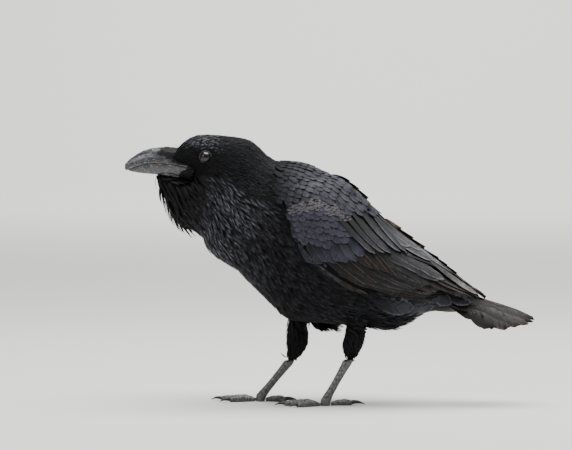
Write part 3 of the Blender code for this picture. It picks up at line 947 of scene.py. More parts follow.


# ---- body coat
# How the coat lies in side view: a place, how far its feathers point below straight backwards, and how
# much painted sheen their colour is given there, from none to all.
LIE = (
    (66, 330, -25, 0.2), (80, 343, -25, 0.65), (105, 351, 0, 0.5), (125, 350, 4, 0.25), (140, 350, 6, 0.25),
    (165, 343, 25, 0.3), (185, 325, 35, 0.3), (75, 312, -5, 0.05), (92, 330, -12, 0.1), (95, 340, -8, 0.8),
    (118, 322, 6, 0.15), (122, 340, 4, 0.45), (150, 312, 16, 0.25), (185, 300, 24, 0.25),
    (92, 302, 28, 0.02), (60, 288, 50, 0.02), (46, 294, 52, 0.02), (62, 270, 55, 0.06), (88, 285, 50, 0.02),
    (75, 255, 52, 0.15), (92, 262, 52, 0.12), (88, 245, 52, 0.3), (110, 288, 50, 0.3), (118, 272, 60, 0.9),
    (135, 268, 56, 0.95), (160, 278, 40, 0.4), (150, 250, 46, 0.65), (110, 235, 50, 0.8),
    (128, 212, 48, 0.8), (142, 200, 46, 0.6), (185, 240, 40, 0.2), (165, 172, 45, 0.5), (200, 150, 42, 0.2),
    (200, 200, 40, 0.25), (228, 200, 36, 0.15), (222, 122, 38, 0.2), (252, 104, 52, 0.25),
    (276, 106, 12, 0.3), (262, 160, 24, 0.15), (300, 106, 6, 0.2), (300, 140, 12, 0.15), (350, 103, 4, 0.2),
    (350, 132, 8, 0.2), (392, 114, -8, 0.4), (210, 314, 14, 0.6), (250, 303, 28, 0.7), (300, 272, 40, 0.8),
    (350, 228, 38, 0.7), (400, 190, 36, 0.6), (296, 92, 75, 0.1), (298, 66, 80, 0.1), (222, 92, 80, 0.1),
    (214, 62, 85, 0.1),
)
# Side view of the stretch of bill that stays bare under the bristles, back to the corner of the mouth.
BARE_BILL = ((36, 326), (44, 325.4), (60, 319.4), (76, 313.4), (86, 309.6), (92, 303), (90, 291), (84, 287),
             (74, 288.5), (62, 291.5), (44, 295), (30, 296))


@dataclass(frozen=True)
class Tract:
    """One stretch of the body's coat with feathers of one size and make.

    spacing is the least distance between two roots, rise how far the tips stand off, stray how much
    their directions differ, and cling how closely they follow the skin's own bend.
    """

    name: str
    spacing: float
    length: float
    width: float
    rise: float
    vane: Vane
    finish: FeatherKeratin
    stray: float = 0.12
    cling: float = 1.0


FACE = Tract("face_feathers", 1.25, 4.6, 1.15, 0.6, Vane(3, 2, 0.4, 0.5, 0.8), VELVET)
BROW = Tract("crown_feathers", 2.2, 6.0, 2.7, 1.0, Vane(3, 2, 0.5, 0.5, 0.5), CROWN)
NAPE = Tract("nape_feathers", 1.45, 8.5, 1.35, 1.2, Vane(3, 2, 0.4, 0.5, 0.8), VELVET, 0.06)
THROAT = Tract("throat_hackles", 2.9, 19.0, 3.5, 3.2, Vane(6, 2, 0.45, 0.4, 0.9), HACKLE, 0.14)
BEARD = Tract("beard_hackles", 3.0, 24.0, 3.4, 6.4, Vane(6, 2, 0.4, 0.4, 1.0), HACKLE, 0.26, 0.35)
BREAST = Tract("breast_feathers", 3.4, 17.0, 4.4, 2.6, Vane(4, 2, 0.5, 0.5, 0.7), SOFT)
BELLY = Tract("belly_feathers", 3.6, 18.0, 4.6, 2.6, Vane(4, 2, 0.5, 0.5, 0.6), SOFT)
BACK = Tract("mantle_feathers", 4.6, 15.0, 9.0, 2.2, Vane(4, 4, 0.6, 0.5, 0.5), MANTLE, 0.08)
THIGH = Tract("thigh_feathers", 2.5, 13.0, 3.2, 2.2, Vane(4, 2, 0.5, 0.5, 0.8), SOFT, 0.16, 0.8)
FLANK = Tract("ruffled_flank_feathers", 1.7, 19.0, 3.8, 12.0, Vane(5, 2, 0.4, 0.5, 0.9), SOFT, 0.3, 0.1)
VENT = Tract("downy_vent_feathers", 3.0, 20.0, 4.0, 4.4, Vane(5, 2, 0.4, 0.5, 0.9), SOFT, 0.3, 0.5)


@dataclass(frozen=True)
class Line:
    """A line of the side view through a place, and how much it rises with each millimetre further back."""

    x: float
    z: float
    slope: float

    def height(self, x: float) -> float:
        """Height of the line at a place."""
        return self.z + self.slope * (x - self.x)


@dataclass
class Coat:
    """The small feathers of head, neck, trunk and thighs, which grow from the skin.

    The spans, tops and ends of the tracts are places of the side view, and a tract's line is its lower
    edge (that of the breast is its upper one). blend is how far neighbouring tracts mingle, and the last
    lengths shape each feather: how deep its root lies, how it curls up, arches and sways.
    """

    skin: Skin
    tries: int = 120000
    blend: float = 3.0
    eye: Pair = (105.9, 321.5)
    eye_clearance: float = 7.4
    cheek_side: float = 12.0
    bill_side: float = 5.0
    chin_top: float = 300.0
    chin_creep: float = 0.3
    tuft: Pair = (238.0, 266.0)
    tuft_top: float = 114.0
    tuft_side: float = 3.0
    thigh_top: float = 104.0
    fore_thigh_end: float = 246.0
    hind_thigh: Pair = (280.0, 320.0)
    hind_thigh_top: float = 128.0
    hind_thigh_side: float = 26.0
    brow_end: float = 122.0
    brow_line: Line = Line(100.0, 332.0, -0.25)
    face_end: float = 116.0
    face_line: Line = Line(60.0, 298.0, 0.10)
    nape_end: float = 222.0
    nape_line: Line = Line(120.0, 296.0, -0.55)
    nape_wave: Pair = (8.0, 9.0)
    breast: Pair = (130.0, 245.0)
    breast_top: float = 250.0
    breast_line: Line = Line(0.0, 330.0, -0.62)
    beard_end: float = 128.0
    beard: Pair = (236.0, 288.0)
    beard_facing: float = -0.35
    beard_share: float = 0.5
    throat_end: float = 185.0
    back_low: float = 200.0
    back_line: Line = Line(240.0, 238.0, -0.9)
    vent_start: float = 282.0
    vent_top: float = 112.0
    guide_reach: float = 60.0
    clump: float = 0.28
    clump_size: float = 0.07
    parting: float = 0.12
    parting_side: float = 40.0
    parting_end: Pair = (180.0, 80.0)
    cell: int = 6
    bare_under_thigh: float = 0.15
    wing_start: Pair = (240.0, 150.0)
    wing_reach: float = 30.0
    root_depth: float = 0.4
    curl: float = 1.7
    camber: float = 0.10
    sway: float = 0.04
    thickness: float = 0.16

    def tract_at(self, x: float, y: float, z: float, facing: float) -> Tract | None:
        """Names the tract that a place belongs to, or none where nothing grows.

        Args:
            x: How far the place lies behind the bill's tip.
            y: How far it lies to the side.
            z: Its height.
            facing: The skin's own direction there, as the X of its normal.

        Returns:
            The tract, or none.
        """
        creep = self.chin_creep if z < self.chin_top else 0.0
        if inside(BARE_BILL, x, z) > -creep and abs(y) > self.bill_side:
            return None
        if math.dist((x, z), self.eye) < self.eye_clearance and abs(y) > self.cheek_side:
            return None
        if z < self.tuft_top and within(self.tuft, x) and y > self.tuft_side:
            return FLANK
        x, z = x + RNG.normal(0.0, self.blend), z + RNG.normal(0.0, self.blend)
        hind = within(self.hind_thigh, x)
        if z < self.thigh_top and (x < self.fore_thigh_end or hind):
            return THIGH
        if z < self.hind_thigh_top and hind and abs(y) > self.hind_thigh_side:
            return THIGH
        if x < self.brow_end and z > self.brow_line.height(max(x, self.brow_line.x)):
            return BROW
        if x < self.face_end and z > self.face_line.height(x):
            return FACE
        wave, pitch = self.nape_wave
        if x < self.nape_end and z > self.nape_line.height(x) + wave * math.sin(x / pitch):
            return NAPE
        if within(self.breast, x) and z < min(self.breast_top, self.breast_line.height(x)):
            return BREAST
        if (x < self.beard_end and within(self.beard, z) and facing < self.beard_facing
                and RNG.random() < self.beard_share):
            return BEARD
        if x < self.throat_end:
            return THROAT
        if z > max(self.back_line.height(x), self.back_low):
            return BACK
        if x > self.vent_start and z < self.vent_top:
            return VENT
        return BELLY

    def lie(self, places: np.ndarray, normals: np.ndarray) -> tuple[np.ndarray, np.ndarray]:
        """Direction of the feathers at each place, and how much painted sheen their colour is given there.

        Args:
            places: Roots in millimetres.
            normals: The skin's normals there.

        Returns:
            Directions along the skin, and a share of painted sheen for each.
        """
        guides = np.array(LIE, float)
        away = (places[:, None, 0] - guides[None, :, 0]) ** 2 + (places[:, None, 2] - guides[None, :, 1]) ** 2
        weight = 1.0 / (away + self.guide_reach) ** 2
        angle = np.radians((weight * guides[:, 2]).sum(1) / weight.sum(1))
        angle += self.clump * np.array([noise.noise(Vector(place) * self.clump_size) for place in places])
        end, fade = self.parting_end
        spread = (self.parting * np.clip(places[:, 1] / self.parting_side, -1.0, 1.0)
                  * np.clip((end - places[:, 0]) / fade, 0.0, 1.0))
        way = np.stack([np.cos(angle), spread, -np.sin(angle)], 1)
        light = (weight * guides[:, 3]).sum(1) / weight.sum(1)
        return unit(way - normals * (way * normals).sum(1, keepdims=True)), light

    def build(self, hidden: BVHTree) -> list[Object]:
        """Grows every tract.

        Args:
            hidden: The wings' faces: nothing grows where they cover the skin.

        Returns:
            One piece for each tract.
        """
        places, normals, charts = self.skin.scatter(self.tries)
        grid: dict[tuple[int, int, int], list[int]] = {}
        chosen: dict[Tract, list[int]] = {}
        millimetres = in_mm(places)
        steps = (-1, 0, 1)
        for k, (x, y, z) in enumerate(millimetres):
            tract = self.tract_at(x, y, z, normals[k, 0])
            if tract is None or (tract is THIGH and normals[k, 2] > self.bare_under_thigh):
                continue
            cell = (int(x // self.cell), int(y // self.cell), int(z // self.cell))
            near = [j for dx in steps for dy in steps for dz in steps
                    for j in grid.get((cell[0] + dx, cell[1] + dy, cell[2] + dz), ())]
            if near and (((millimetres[near] - millimetres[k]) ** 2).sum(1)).min() < tract.spacing ** 2:
                continue
            if x > self.wing_start[0] and z > self.wing_start[1] and hidden.ray_cast(
                    Vector(places[k]), Vector(normals[k]), self.wing_reach * MM)[0] is not None:
                continue
            grid.setdefault(cell, []).append(k)
            chosen.setdefault(tract, []).append(k)
        return [self.grow(tract, places[picked], normals[picked], charts[picked])
                for tract, picked in chosen.items()]

    def grow(self, tract: Tract, places: np.ndarray, normals: np.ndarray,
             charts: np.ndarray) -> Object:
        """Grows one tract.

        Args:
            tract: Its sizes and finish.
            places: Roots in metres.
            normals: The skin's normals there.
            charts: The roots' places on the skin's unwrap.

        Returns:
            The tract as one piece.
        """
        count = len(places)
        mesh = FeatherMesh(tract.name, tract.vane, tract.finish)
        way, light = self.lie(in_mm(places), normals)
        across = np.cross(normals, way)
        way = unit(way + across * RNG.normal(0.0, tract.stray, (count, 1)))
        across = np.cross(normals, way)
        length = tract.length * RNG.uniform(0.8, 1.15, count)
        width = tract.width * RNG.uniform(0.85, 1.15, count)
        tips = places + way * length[:, None] * MM
        drop = np.zeros(count)
        for k in range(count):
            nearest, normal, _, _ = self.skin.tree.find_nearest(Vector(tips[k]))
            drop[k] = max((Vector(tips[k]) - nearest).dot(normal), 0.0) / MM
        rise = tract.rise * RNG.uniform(0.8, 1.2, count)
        along, over, side = mesh.shape.T
        half = tract.vane.half_width(along) * over
        forward = length[:, None] * along
        sway = RNG.normal(0.0, self.sway, (count, 1))
        beside = 0.5 * width[:, None] * half + sway * length[:, None] * along ** 2
        upward = (-self.root_depth + (rise[:, None] + self.root_depth) * (1.0 - (1.0 - along) ** self.curl)
                  - tract.cling * drop[:, None] * along ** 2 - self.camber * width[:, None] * half ** 2
                  + self.thickness * side * (1.0 - 0.6 * along))
        points = (places[:, None] + (way[:, None] * forward[:, :, None] + across[:, None] * beside[:, :, None]
                                     + normals[:, None] * upward[:, :, None]) * MM)
        # Painted sheen: the share of the place, varied from feather to feather.
        tones = light * (0.25 + 1.5 * RNG.random(count) ** 1.5)
        mesh.add(points, np.clip(tones, 0.0, 1.0), length, width, charts)
        return mesh.build()


# ---- wings
class BodySheet:
    """The outer surface of trunk and folded wings, as a sheet of stations and angles round the spine."""

    spine = ((140, 275), (215, 240), (300, 203), (391, 163), (486, 121))
    stations = 110
    first_angle, last_angle, angles = -70.0, 190.0, 105
    left_side = (2.0, 168.0)
    spine_smoothing = 12
    smoothing = 3
    ray_length = 200.0
    body_lift = 1.5
    missed_reach = 8.0

    def __init__(self) -> None:
        """Casts rays on the solids from outside, station by station."""
        body, wings = tree_of_nodes("neck", "trunk", "tail"), tree_of_nodes(*WINGS)
        line = np.array(self.spine, float)
        knots = np.concatenate([[0.0], np.cumsum(np.linalg.norm(np.diff(line, axis=0), axis=1))])
        self.length = knots[-1]
        spots = np.linspace(0.0, self.length, self.stations)
        x, z = np.interp(spots, knots, line[:, 0]), np.interp(spots, knots, line[:, 1])
        for _ in range(self.spine_smoothing):
            x[1:-1], z[1:-1] = (x[:-2] + 2 * x[1:-1] + x[2:]) / 4, (z[:-2] + 2 * z[1:-1] + z[2:]) / 4
        way = unit(np.stack([np.gradient(x), np.gradient(z)], 1))
        angles = np.radians(np.linspace(self.first_angle, self.last_angle, self.angles))
        self.middle = np.stack([x, np.zeros_like(x), z], 1)
        up = np.stack([-way[:, 1], np.zeros_like(x), way[:, 0]], 1)
        self.rays = (np.cos(angles)[None, :, None] * up[:, None]
                     + np.sin(angles)[None, :, None] * np.array((0.0, Side.LEFT.value, 0.0)))
        self.reach = np.array([[self.cast(wings, body, place, ray) for ray in rays]
                               for place, rays in zip(self.middle, self.rays)])
        for _ in range(self.smoothing):
            for axis in (0, 1):
                rolled = (np.roll(self.reach, 1, axis) + 2 * self.reach + np.roll(self.reach, -1, axis)) / 4
                keep = [slice(None), slice(None)]
                keep[axis] = slice(1, -1)
                self.reach[tuple(keep)] = rolled[tuple(keep)]
        self.points = self.middle[:, None] + self.rays * self.reach[:, :, None]
        self.normals = unit(np.cross(np.gradient(self.points, axis=1), np.gradient(self.points, axis=0)))
        if (self.normals * self.rays).sum() < 0.0:
            self.normals = -self.normals
        self.flatten()

    def cast(self, wings: BVHTree, body: BVHTree, place: np.ndarray, ray: np.ndarray) -> float:
        """Measures how far the sheet lies from the spine along a ray.

        Args:
            wings: The wings' faces, which count first.
            body: The body's faces, over which the sheet keeps a little way.
            place: The place on the spine, in millimetres.
            ray: The way of the ray.

        Returns:
            The distance in millimetres.
        """
        middle, ray, far = at(*place), Vector(ray), self.ray_length * MM
        for tree, lift in ((wings, 0.0), (body, self.body_lift)):
            hit = tree.ray_cast(middle + ray * far, -ray, far)[0]
            if hit is not None:
                return (hit - middle).length / MM + lift
        return self.missed_reach

    def flatten(self) -> None:
        """Lays the left half of the sheet flat in side view, where places can be looked up."""
        low, high = (round((a - self.first_angle) / (self.last_angle - self.first_angle) * (self.angles - 1))
                     for a in self.left_side)
        wide = high - low + 1
        grid = [(i, j) for i in range(self.stations) for j in range(low, high + 1)]
        self.keys = [Vector((i, j, 0.0)) for i, j in grid]
        self.flat = [Vector((self.points[i, j, 0], 0.0, self.points[i, j, 2])) for i, j in grid]
        self.faces = [face for i in range(self.stations - 1) for a in range(i * wide, (i + 1) * wide - 1)
                      for face in ((a, a + 1, a + wide), (a + 1, a + wide + 1, a + wide))]
        self.tree = BVHTree.FromPolygons(self.flat, self.faces)

    def find(self, x: float, z: float) -> np.ndarray:
        """Looks up a place of the side view on the left half.

        Args:
            x: How far it lies behind the bill's tip.
            z: Its height.

        Returns:
            Its station and angle, as places on the grid.
        """
        spot, _, face, _ = self.tree.find_nearest(Vector((x, 0.0, z)))
        corners = self.faces[face]
        found = barycentric_transform(spot, *(self.flat[c] for c in corners), *(self.keys[c] for c in corners))
        return np.array(found[:2])

    def read(self, spots: np.ndarray) -> tuple[np.ndarray, np.ndarray]:
        """Reads the sheet between its grid points.

        Args:
            spots: Grid places as (n, 2).

        Returns:
            Points in millimetres and normals, both as (n, 3).
        """
        i = np.clip(spots[:, 0], 0.0, self.stations - 1.001)
        j = np.clip(spots[:, 1], 0.0, self.angles - 1.001)
        a, b = i.astype(int), j.astype(int)
        u, v = (i - a)[:, None], (j - b)[:, None]

        def mixed(grid: np.ndarray) -> np.ndarray:
            """Mixes the four grid values round each place."""
            return ((1 - u) * (1 - v) * grid[a, b] + u * (1 - v) * grid[a + 1, b]
                    + (1 - u) * v * grid[a, b + 1] + u * v * grid[a + 1, b + 1])

        return mixed(self.points), unit(mixed(self.normals))


@dataclass(frozen=True)
class Row:
    """One row of large feathers, from its lowest or foremost to its last feather.

    roots and tips are side-view places of the first and the last feather, and of some between. base and
    top are the heights of root and tip over the wing's own surface, less than zero because its solid
    holds them all. roll lifts the lower edge of each feather over its neighbour, jitter is how far roots
    and tips stray, and a row that only one side has names that side.
    """

    name: str
    count: int
    roots: Outline
    tips: Outline
    widths: Pair
    vane: Vane
    finish: FeatherKeratin
    # Painted sheen of the first and the last feather.
    light: Pair
    base: float = -2.5
    top: float = -0.6
    roll: float = 1.0
    jitter: float = 1.0
    only: Side | None = None


@dataclass(frozen=True)
class Tiles:
    """A stretch of overlapping small feathers whose tips lie inside an outline of the side view.

    stations is where its courses begin and end along the spine, lengths and widths are those of its
    first and last course, turn is how far the feathers point downwards from the spine's own way, and
    pitch is how much of its own width lies between a feather and the next. A stretch's painted sheen grows
    from a line that leans forwards, which meets the height of 265 at the first value of dawn, over its second.
    """

    name: str
    stations: Pair
    lengths: Pair
    widths: Pair
    outline: Outline
    vane: Vane
    finish: FeatherKeratin
    turn: float = 12.0
    light: Pair = (0.6, 0.8)
    pitch: float = 0.62
    base: float = -1.2
    top: float = 0.1
    dawn: Pair = (0.0, 1.0)


LONG = Vane(22, 8, 0.6, 0.45, 0.45)
BROAD = Vane(9, 6, 0.6, 0.5, 0.5)
SCALE = Vane(6, 4, 0.55, 0.5, 0.5)
POINTED = Vane(12, 6, 0.45, 0.5, 0.8)

WING_ROWS = (
    Row("primaries", 10, ((262, 180), (340, 206)), ((400, 143), (470, 139)), (8, 10), LONG, FADED,
        (0.35, 1.0), -3.4, 0.1, 3.6),
    Row("secondaries", 9, ((258, 186), (306, 226)), ((362, 150), (402, 158)), (15, 17), LONG, SECONDARY,
        (0.15, 0.45), -3.2, -0.7, 2.6),
    Row("tertials", 5, ((302, 226), (328, 248)), ((410, 163), (440, 167)), (18, 16), LONG, TERTIAL,
        (0.4, 0.95), -2.6, -0.2, 2.4),
    Row("middle_tertials", 3, ((314, 250), (334, 258)), ((400, 188), (444, 170)), (18, 15), LONG, TERTIAL,
        (0.8, 1.2), -2.8, -0.4, 1.8),
    Row("inner_tertials", 5, ((296, 262), (340, 262)), ((372, 205), (432, 180)), (20, 17), LONG, TERTIAL,
        (0.7, 1.3), -2.6, -0.1, 1.6),
    Row("worn_tips", 4, ((396, 192), (412, 199)), ((458, 144), (474, 147)), (12, 12), LONG, WORN,
        (1.1, 1.3), -1.2, 2.4, 1.0, 0.6, Side.LEFT),
    Row("far_worn_tips", 3, ((400, 180), (410, 182)), ((456, 138), (466, 134)), (8, 9), LONG, WORN,
        (0.8, 0.8), -1.6, 0.2, 1.4, 0.8, Side.RIGHT),
    Row("primary_coverts", 3, ((240, 202), (276, 206)), ((316, 146), (331, 160)), (19, 17), POINTED, BROWN,
        (0.6, 1.0), -2.8, -0.6, 1.8, 1.4),
    Row("inner_coverts", 4, ((284, 224), (322, 214)), ((322, 182), (357, 170)), (15, 16), BROAD, BROWN,
        (0.8, 1.0), -2.3, -0.3, 1.7, 1.8),
    Row("greater_coverts", 8, ((230, 216), (288, 228)), ((250, 186), (312, 192)), (16, 18), BROAD, COVERT,
        (0.4, 0.95), -2.3, -0.3, 1.8, 2.0),
    Row("marginal_coverts", 12, ((226, 264), (224, 240), (234, 216), (252, 196), (270, 180)),
        ((219, 244), (221, 222), (236, 201), (257, 183), (284, 163)), (8, 10), BROAD, COVERT,
        (0.4, 0.5), -2.2, -0.3, 1.0, 0.8),
    Row("long_scapulars", 5, ((276, 256), (306, 274)), ((329, 199), (371, 198)), (13, 15), BROAD, SECONDARY,
        (0.7, 0.95), -1.0, 0.6, 2.6, 1.2),
    Row("lower_vent_coverts", 5, ((345, 112), (404, 124)), ((394, 110), (446, 122)), (22, 14), BROAD, SOFT_RIM,
        (0.25, 0.6), -3.0, -1.0, 1.0),
    Row("under_tail_coverts", 4, ((332, 134), (398, 140)), ((378, 127), (451, 134)), (26, 17), BROAD, SOFT_RIM,
        (0.9, 1.5), -2.0, -0.2, 1.0),
    Row("ragged_side_coverts", 4, ((388, 124), (420, 124)), ((434, 115), (464, 112)), (11, 9), POINTED, RECTRIX,
        (0.9, 0.9), -2.5, 0.2, 1.2),
    Row("far_ruffled_mantle", 3, ((268, 296), (282, 284)), ((292, 289), (316, 266)), (9, 9), POINTED, BROWN,
        (0.4, 0.5), -1.0, 2.4, -4.0, 1.0, Side.RIGHT),
    Row("far_rusty_edges", 3, ((340, 244), (366, 226)), ((362, 229), (391, 204)), (6, 6), POINTED, RUSTY,
        (0.8, 1.0), -1.5, 2.2, -4.0, 1.2, Side.RIGHT),
    Row("far_ragged_tips", 3, ((386, 208), (402, 196)), ((408, 190), (430, 170)), (6, 5), POINTED, RECTRIX,
        (0.2, 0.2), -2.0, 1.4, -4.0, 1.5, Side.RIGHT),
)
SCAPULAR_EDGE = ((206, 262), (213, 257), (234, 262), (246, 264), (268, 256), (290, 248), (316, 240), (334, 234))
WING_TILES = (
    Tiles("median_coverts", (60.0, 170.0), (12.0, 25.0), (7.5, 16.5),
          ((220, 262), (221, 236), (226, 221), (237, 209), (250, 203), (266, 204), (284, 209), (297, 214),
           (300, 226), (290, 244), (262, 260), (236, 264)),
          SCALE, COVERT, 30.0, (0.75, 1.0), 0.74, -1.9, 0.3),
    Tiles("lesser_coverts", (55.0, 200.0), (7.0, 9.0), (5.0, 6.5),
          tuple((x + 8.0, z + 6.0) for x, z in SCAPULAR_EDGE[:6])
          + tuple((x + 6.0, z - 10.0) for x, z in SCAPULAR_EDGE[5:0:-1]),
          Vane(5, 2, 0.55, 0.5, 0.5), LESSER, 32.0, (1.0, 1.0), 0.62, -1.3, 0.5),
    Tiles("scapulars", (25.0, 185.0), (14.0, 36.0), (7.5, 14.0),
          SCAPULAR_EDGE + ((340, 240), (344, 330), (212, 330), (208, 300), (203, 280)),
          SCALE, MANTLE, 34.0, (0.1, 1.0), 0.68, -1.6, 1.2, (200.0, 60.0)),
)


@dataclass
class Wing:
    """One folded wing: a plate painted dark as the shade under its rows of coverts and flight feathers.

    sink is how far the plate lies in, but no more than sink_share of the wing's own thickness. A camber
    is the radius over which a vane is vaulted, times two. course is the step from one course of tiles to
    the next, as a share of their length, and stagger how far every second one is shifted. front_dip
    lowers the first courses, and dawn_lean is the slope of the line where the tiles' painted sheen grows
    and the height from which it leans.
    """

    side: Side
    sheet: BodySheet
    rows: tuple[Row, ...] = WING_ROWS
    tiles: tuple[Tiles, ...] = WING_TILES
    sink: float = 3.4
    sink_share: float = 0.75
    plate_end: float = 425.0
    end_shrink: float = 0.5
    end_lift: float = 0.2
    rise_curve: float = 0.7
    row_camber: float = 55.0
    row_thickness: float = 0.22
    tile_camber: float = 60.0
    tile_thickness: float = 0.2
    tile_roll: float = 0.035
    tile_stray: float = 0.28
    turn_stray: float = 0.05
    stagger: float = 0.35
    course: float = 0.45
    least_reach: float = 12.0
    front_dip: Pair = (1.6, 5.0)
    dawn_lean: Pair = (0.3, 265.0)

    @property
    def node(self) -> str:
        """Name of the CAD node of this wing."""
        return f"wing_{self.side.name.lower()}"

    def plate(self) -> Object:
        """Sinks a copy of the wing's solid, painted black as the shade in the gaps between the feathers, which it
        closes.

        Returns:
            The plate.
        """
        plate = copy_nodes(f"{self.node}_plate", self.node)
        apply_modifier(plate, "SUBSURF", levels=1, render_levels=1)
        points, normals = coordinates(plate), normals_of(plate)
        tree = tree_of(plate)
        for k in np.flatnonzero(normals[:, 1] * self.side.value + 0.5 * normals[:, 2] > 0.1):
            inner = tree.ray_cast(Vector(points[k] - normals[k] * 0.1 * MM), Vector(-normals[k]), 20.0 * MM)
            points[k] -= normals[k] * min(self.sink * MM, self.sink_share * (inner[3] or 0.0))
        beyond = np.maximum(in_mm(points)[:, 0] - self.plate_end, 0.0)
        points[:, 0] -= beyond * self.end_shrink * MM
        points[:, 2] += beyond * self.end_lift * MM
        move_to(plate, points)
        dress(plate, SHADE_BLACK.material())
        return plate

    def drape(self, middle: np.ndarray, normal: np.ndarray, along: np.ndarray, half: np.ndarray,
              height: np.ndarray) -> np.ndarray:
        """Lays a feather along a path on the sheet, on this wing's side.

        Args:
            middle: The path, with a point for each row of the vane's vertices.
            normal: The sheet's normals there.
            along: The share of the length at which each vertex lies.
            half: How far each vertex lies to the side of the path.
            height: How high it lies over the sheet.

        Returns:
            The vertices in metres, as the only feather of an array.
        """
        across = unit(np.cross(unit(np.gradient(middle, axis=0)), normal))
        across[across[:, 2] > 0.0] *= -1.0
        row = np.searchsorted(np.unique(along), along)
        points = middle[row] + across[row] * half[:, None] + normal[row] * height[:, None]
        points[:, 1] *= -self.side.value
        return in_metres(points)[None]

    def lay_row(self, row: Row) -> Object:
        """Lays one row of feathers on the sheet.

        Args:
            row: Its places, sizes and finish.

        Returns:
            The row as one piece.
        """
        mesh = FeatherMesh(f"{self.node}_{row.name}", row.vane, row.finish)
        along, over, side = mesh.shape.T
        for k in range(row.count):
            share = k / max(row.count - 1, 1)
            shake = RNG.normal(0.0, row.jitter, 4)
            root, tip = (np.array([np.interp(share, np.linspace(0.0, 1.0, len(line)), part) for part in zip(*line)])
                         for line in (row.roots, row.tips))
            root, tip = root + shake[:2], tip + shake[2:]
            width = between(row.widths, share)
            start, end = self.sheet.find(*root), self.sheet.find(*tip)
            middle, normal = self.sheet.read(start + (end - start) * np.unique(along)[:, None])
            length = np.linalg.norm(np.diff(middle, axis=0), axis=1).sum()
            half = row.vane.half_width(along) * over * 0.5 * width * fray(along, over)
            height = (between((row.base, row.top), along ** self.rise_curve) + row.roll * over * 0.5
                      - half ** 2 / self.row_camber + self.row_thickness * side * (1.0 - 0.5 * np.abs(over)))
            mesh.add(self.drape(middle, normal, along, half, height),
                     between(row.light, share) * RNG.uniform(0.75, 1.2, 1), [length], [width],
                     flipped=self.side is Side.RIGHT)
        return mesh.build()

    def lay_tiles(self, tiles: Tiles) -> Object:
        """Lays a stretch of small overlapping feathers, course by course, like tiles.

        Args:
            tiles: Their region, sizes and finish.

        Returns:
            The stretch as one piece.
        """
        mesh = FeatherMesh(f"{self.node}_{tiles.name}", tiles.vane, tiles.finish)
        along, over, side = mesh.shape.T
        sheet = self.sheet
        per_station = sheet.length / (sheet.stations - 1)
        per_angle = math.radians((sheet.last_angle - sheet.first_angle) / (sheet.angles - 1))
        station, course = tiles.stations[0], 0
        while station < tiles.stations[1]:
            share = (station - tiles.stations[0]) / (tiles.stations[1] - tiles.stations[0])
            length, width = between(tiles.lengths, share), between(tiles.widths, share)
            i = station / per_station
            reaches = sheet.reach[int(np.clip(i, 0, sheet.stations - 1))]
            j = -sheet.first_angle / math.degrees(per_angle) + (self.stagger if course % 2 else 0.0)
            while j < sheet.angles - 4:
                spot = np.array((i, j)) + RNG.normal(0.0, self.tile_stray, 2)
                reach = max(np.interp(spot[1], np.arange(sheet.angles), reaches), self.least_reach)
                long = length * RNG.uniform(0.92, 1.08)
                turn = math.radians(tiles.turn) + RNG.normal(0.0, self.turn_stray)
                steps = np.unique(along)
                path = spot + np.stack([steps * long * math.cos(turn) / per_station,
                                        steps * long * math.sin(turn) / (reach * per_angle)], 1)
                middle, normal = sheet.read(path)
                x, _, z = middle[-1]
                if inside(tiles.outline, x, z) > 0.0:
                    half = tiles.vane.half_width(along) * over * 0.5 * width
                    dip, fade = self.front_dip
                    height = (between((tiles.base, tiles.top), along ** self.rise_curve)
                              - half ** 2 / self.tile_camber
                              + self.tile_thickness * side * (1.0 - 0.5 * np.abs(over))
                              + self.tile_roll * width * over - dip * max(1.0 - fade * share, 0.0))
                    # Painted sheen, growing from a line that leans forwards.
                    lean, high = self.dawn_lean
                    lit = np.clip((x - tiles.dawn[0] - lean * max(z - high, 0.0)) / tiles.dawn[1], 0.0, 1.0)
                    mesh.add(self.drape(middle, normal, along, half, height),
                             between(tiles.light, lit) * RNG.uniform(0.7, 1.25, 1), [long], [width],
                             spot[None] / (sheet.stations, sheet.angles), self.side is Side.RIGHT)
                j += tiles.pitch * width / (reach * per_angle)
            station += self.course * length
            course += 1
        return mesh.build()

    def build(self) -> None:
        """Builds the plate, all rows and all tiled stretches and hands them over."""
        hand_over(self.plate(), "flight_plumage", self.node)
        for row in self.rows:
            if row.only in (None, self.side):
                hand_over(self.lay_row(row), "flight_plumage")
        for tiles in self.tiles:
            hand_over(self.lay_tiles(tiles), "flight_plumage")


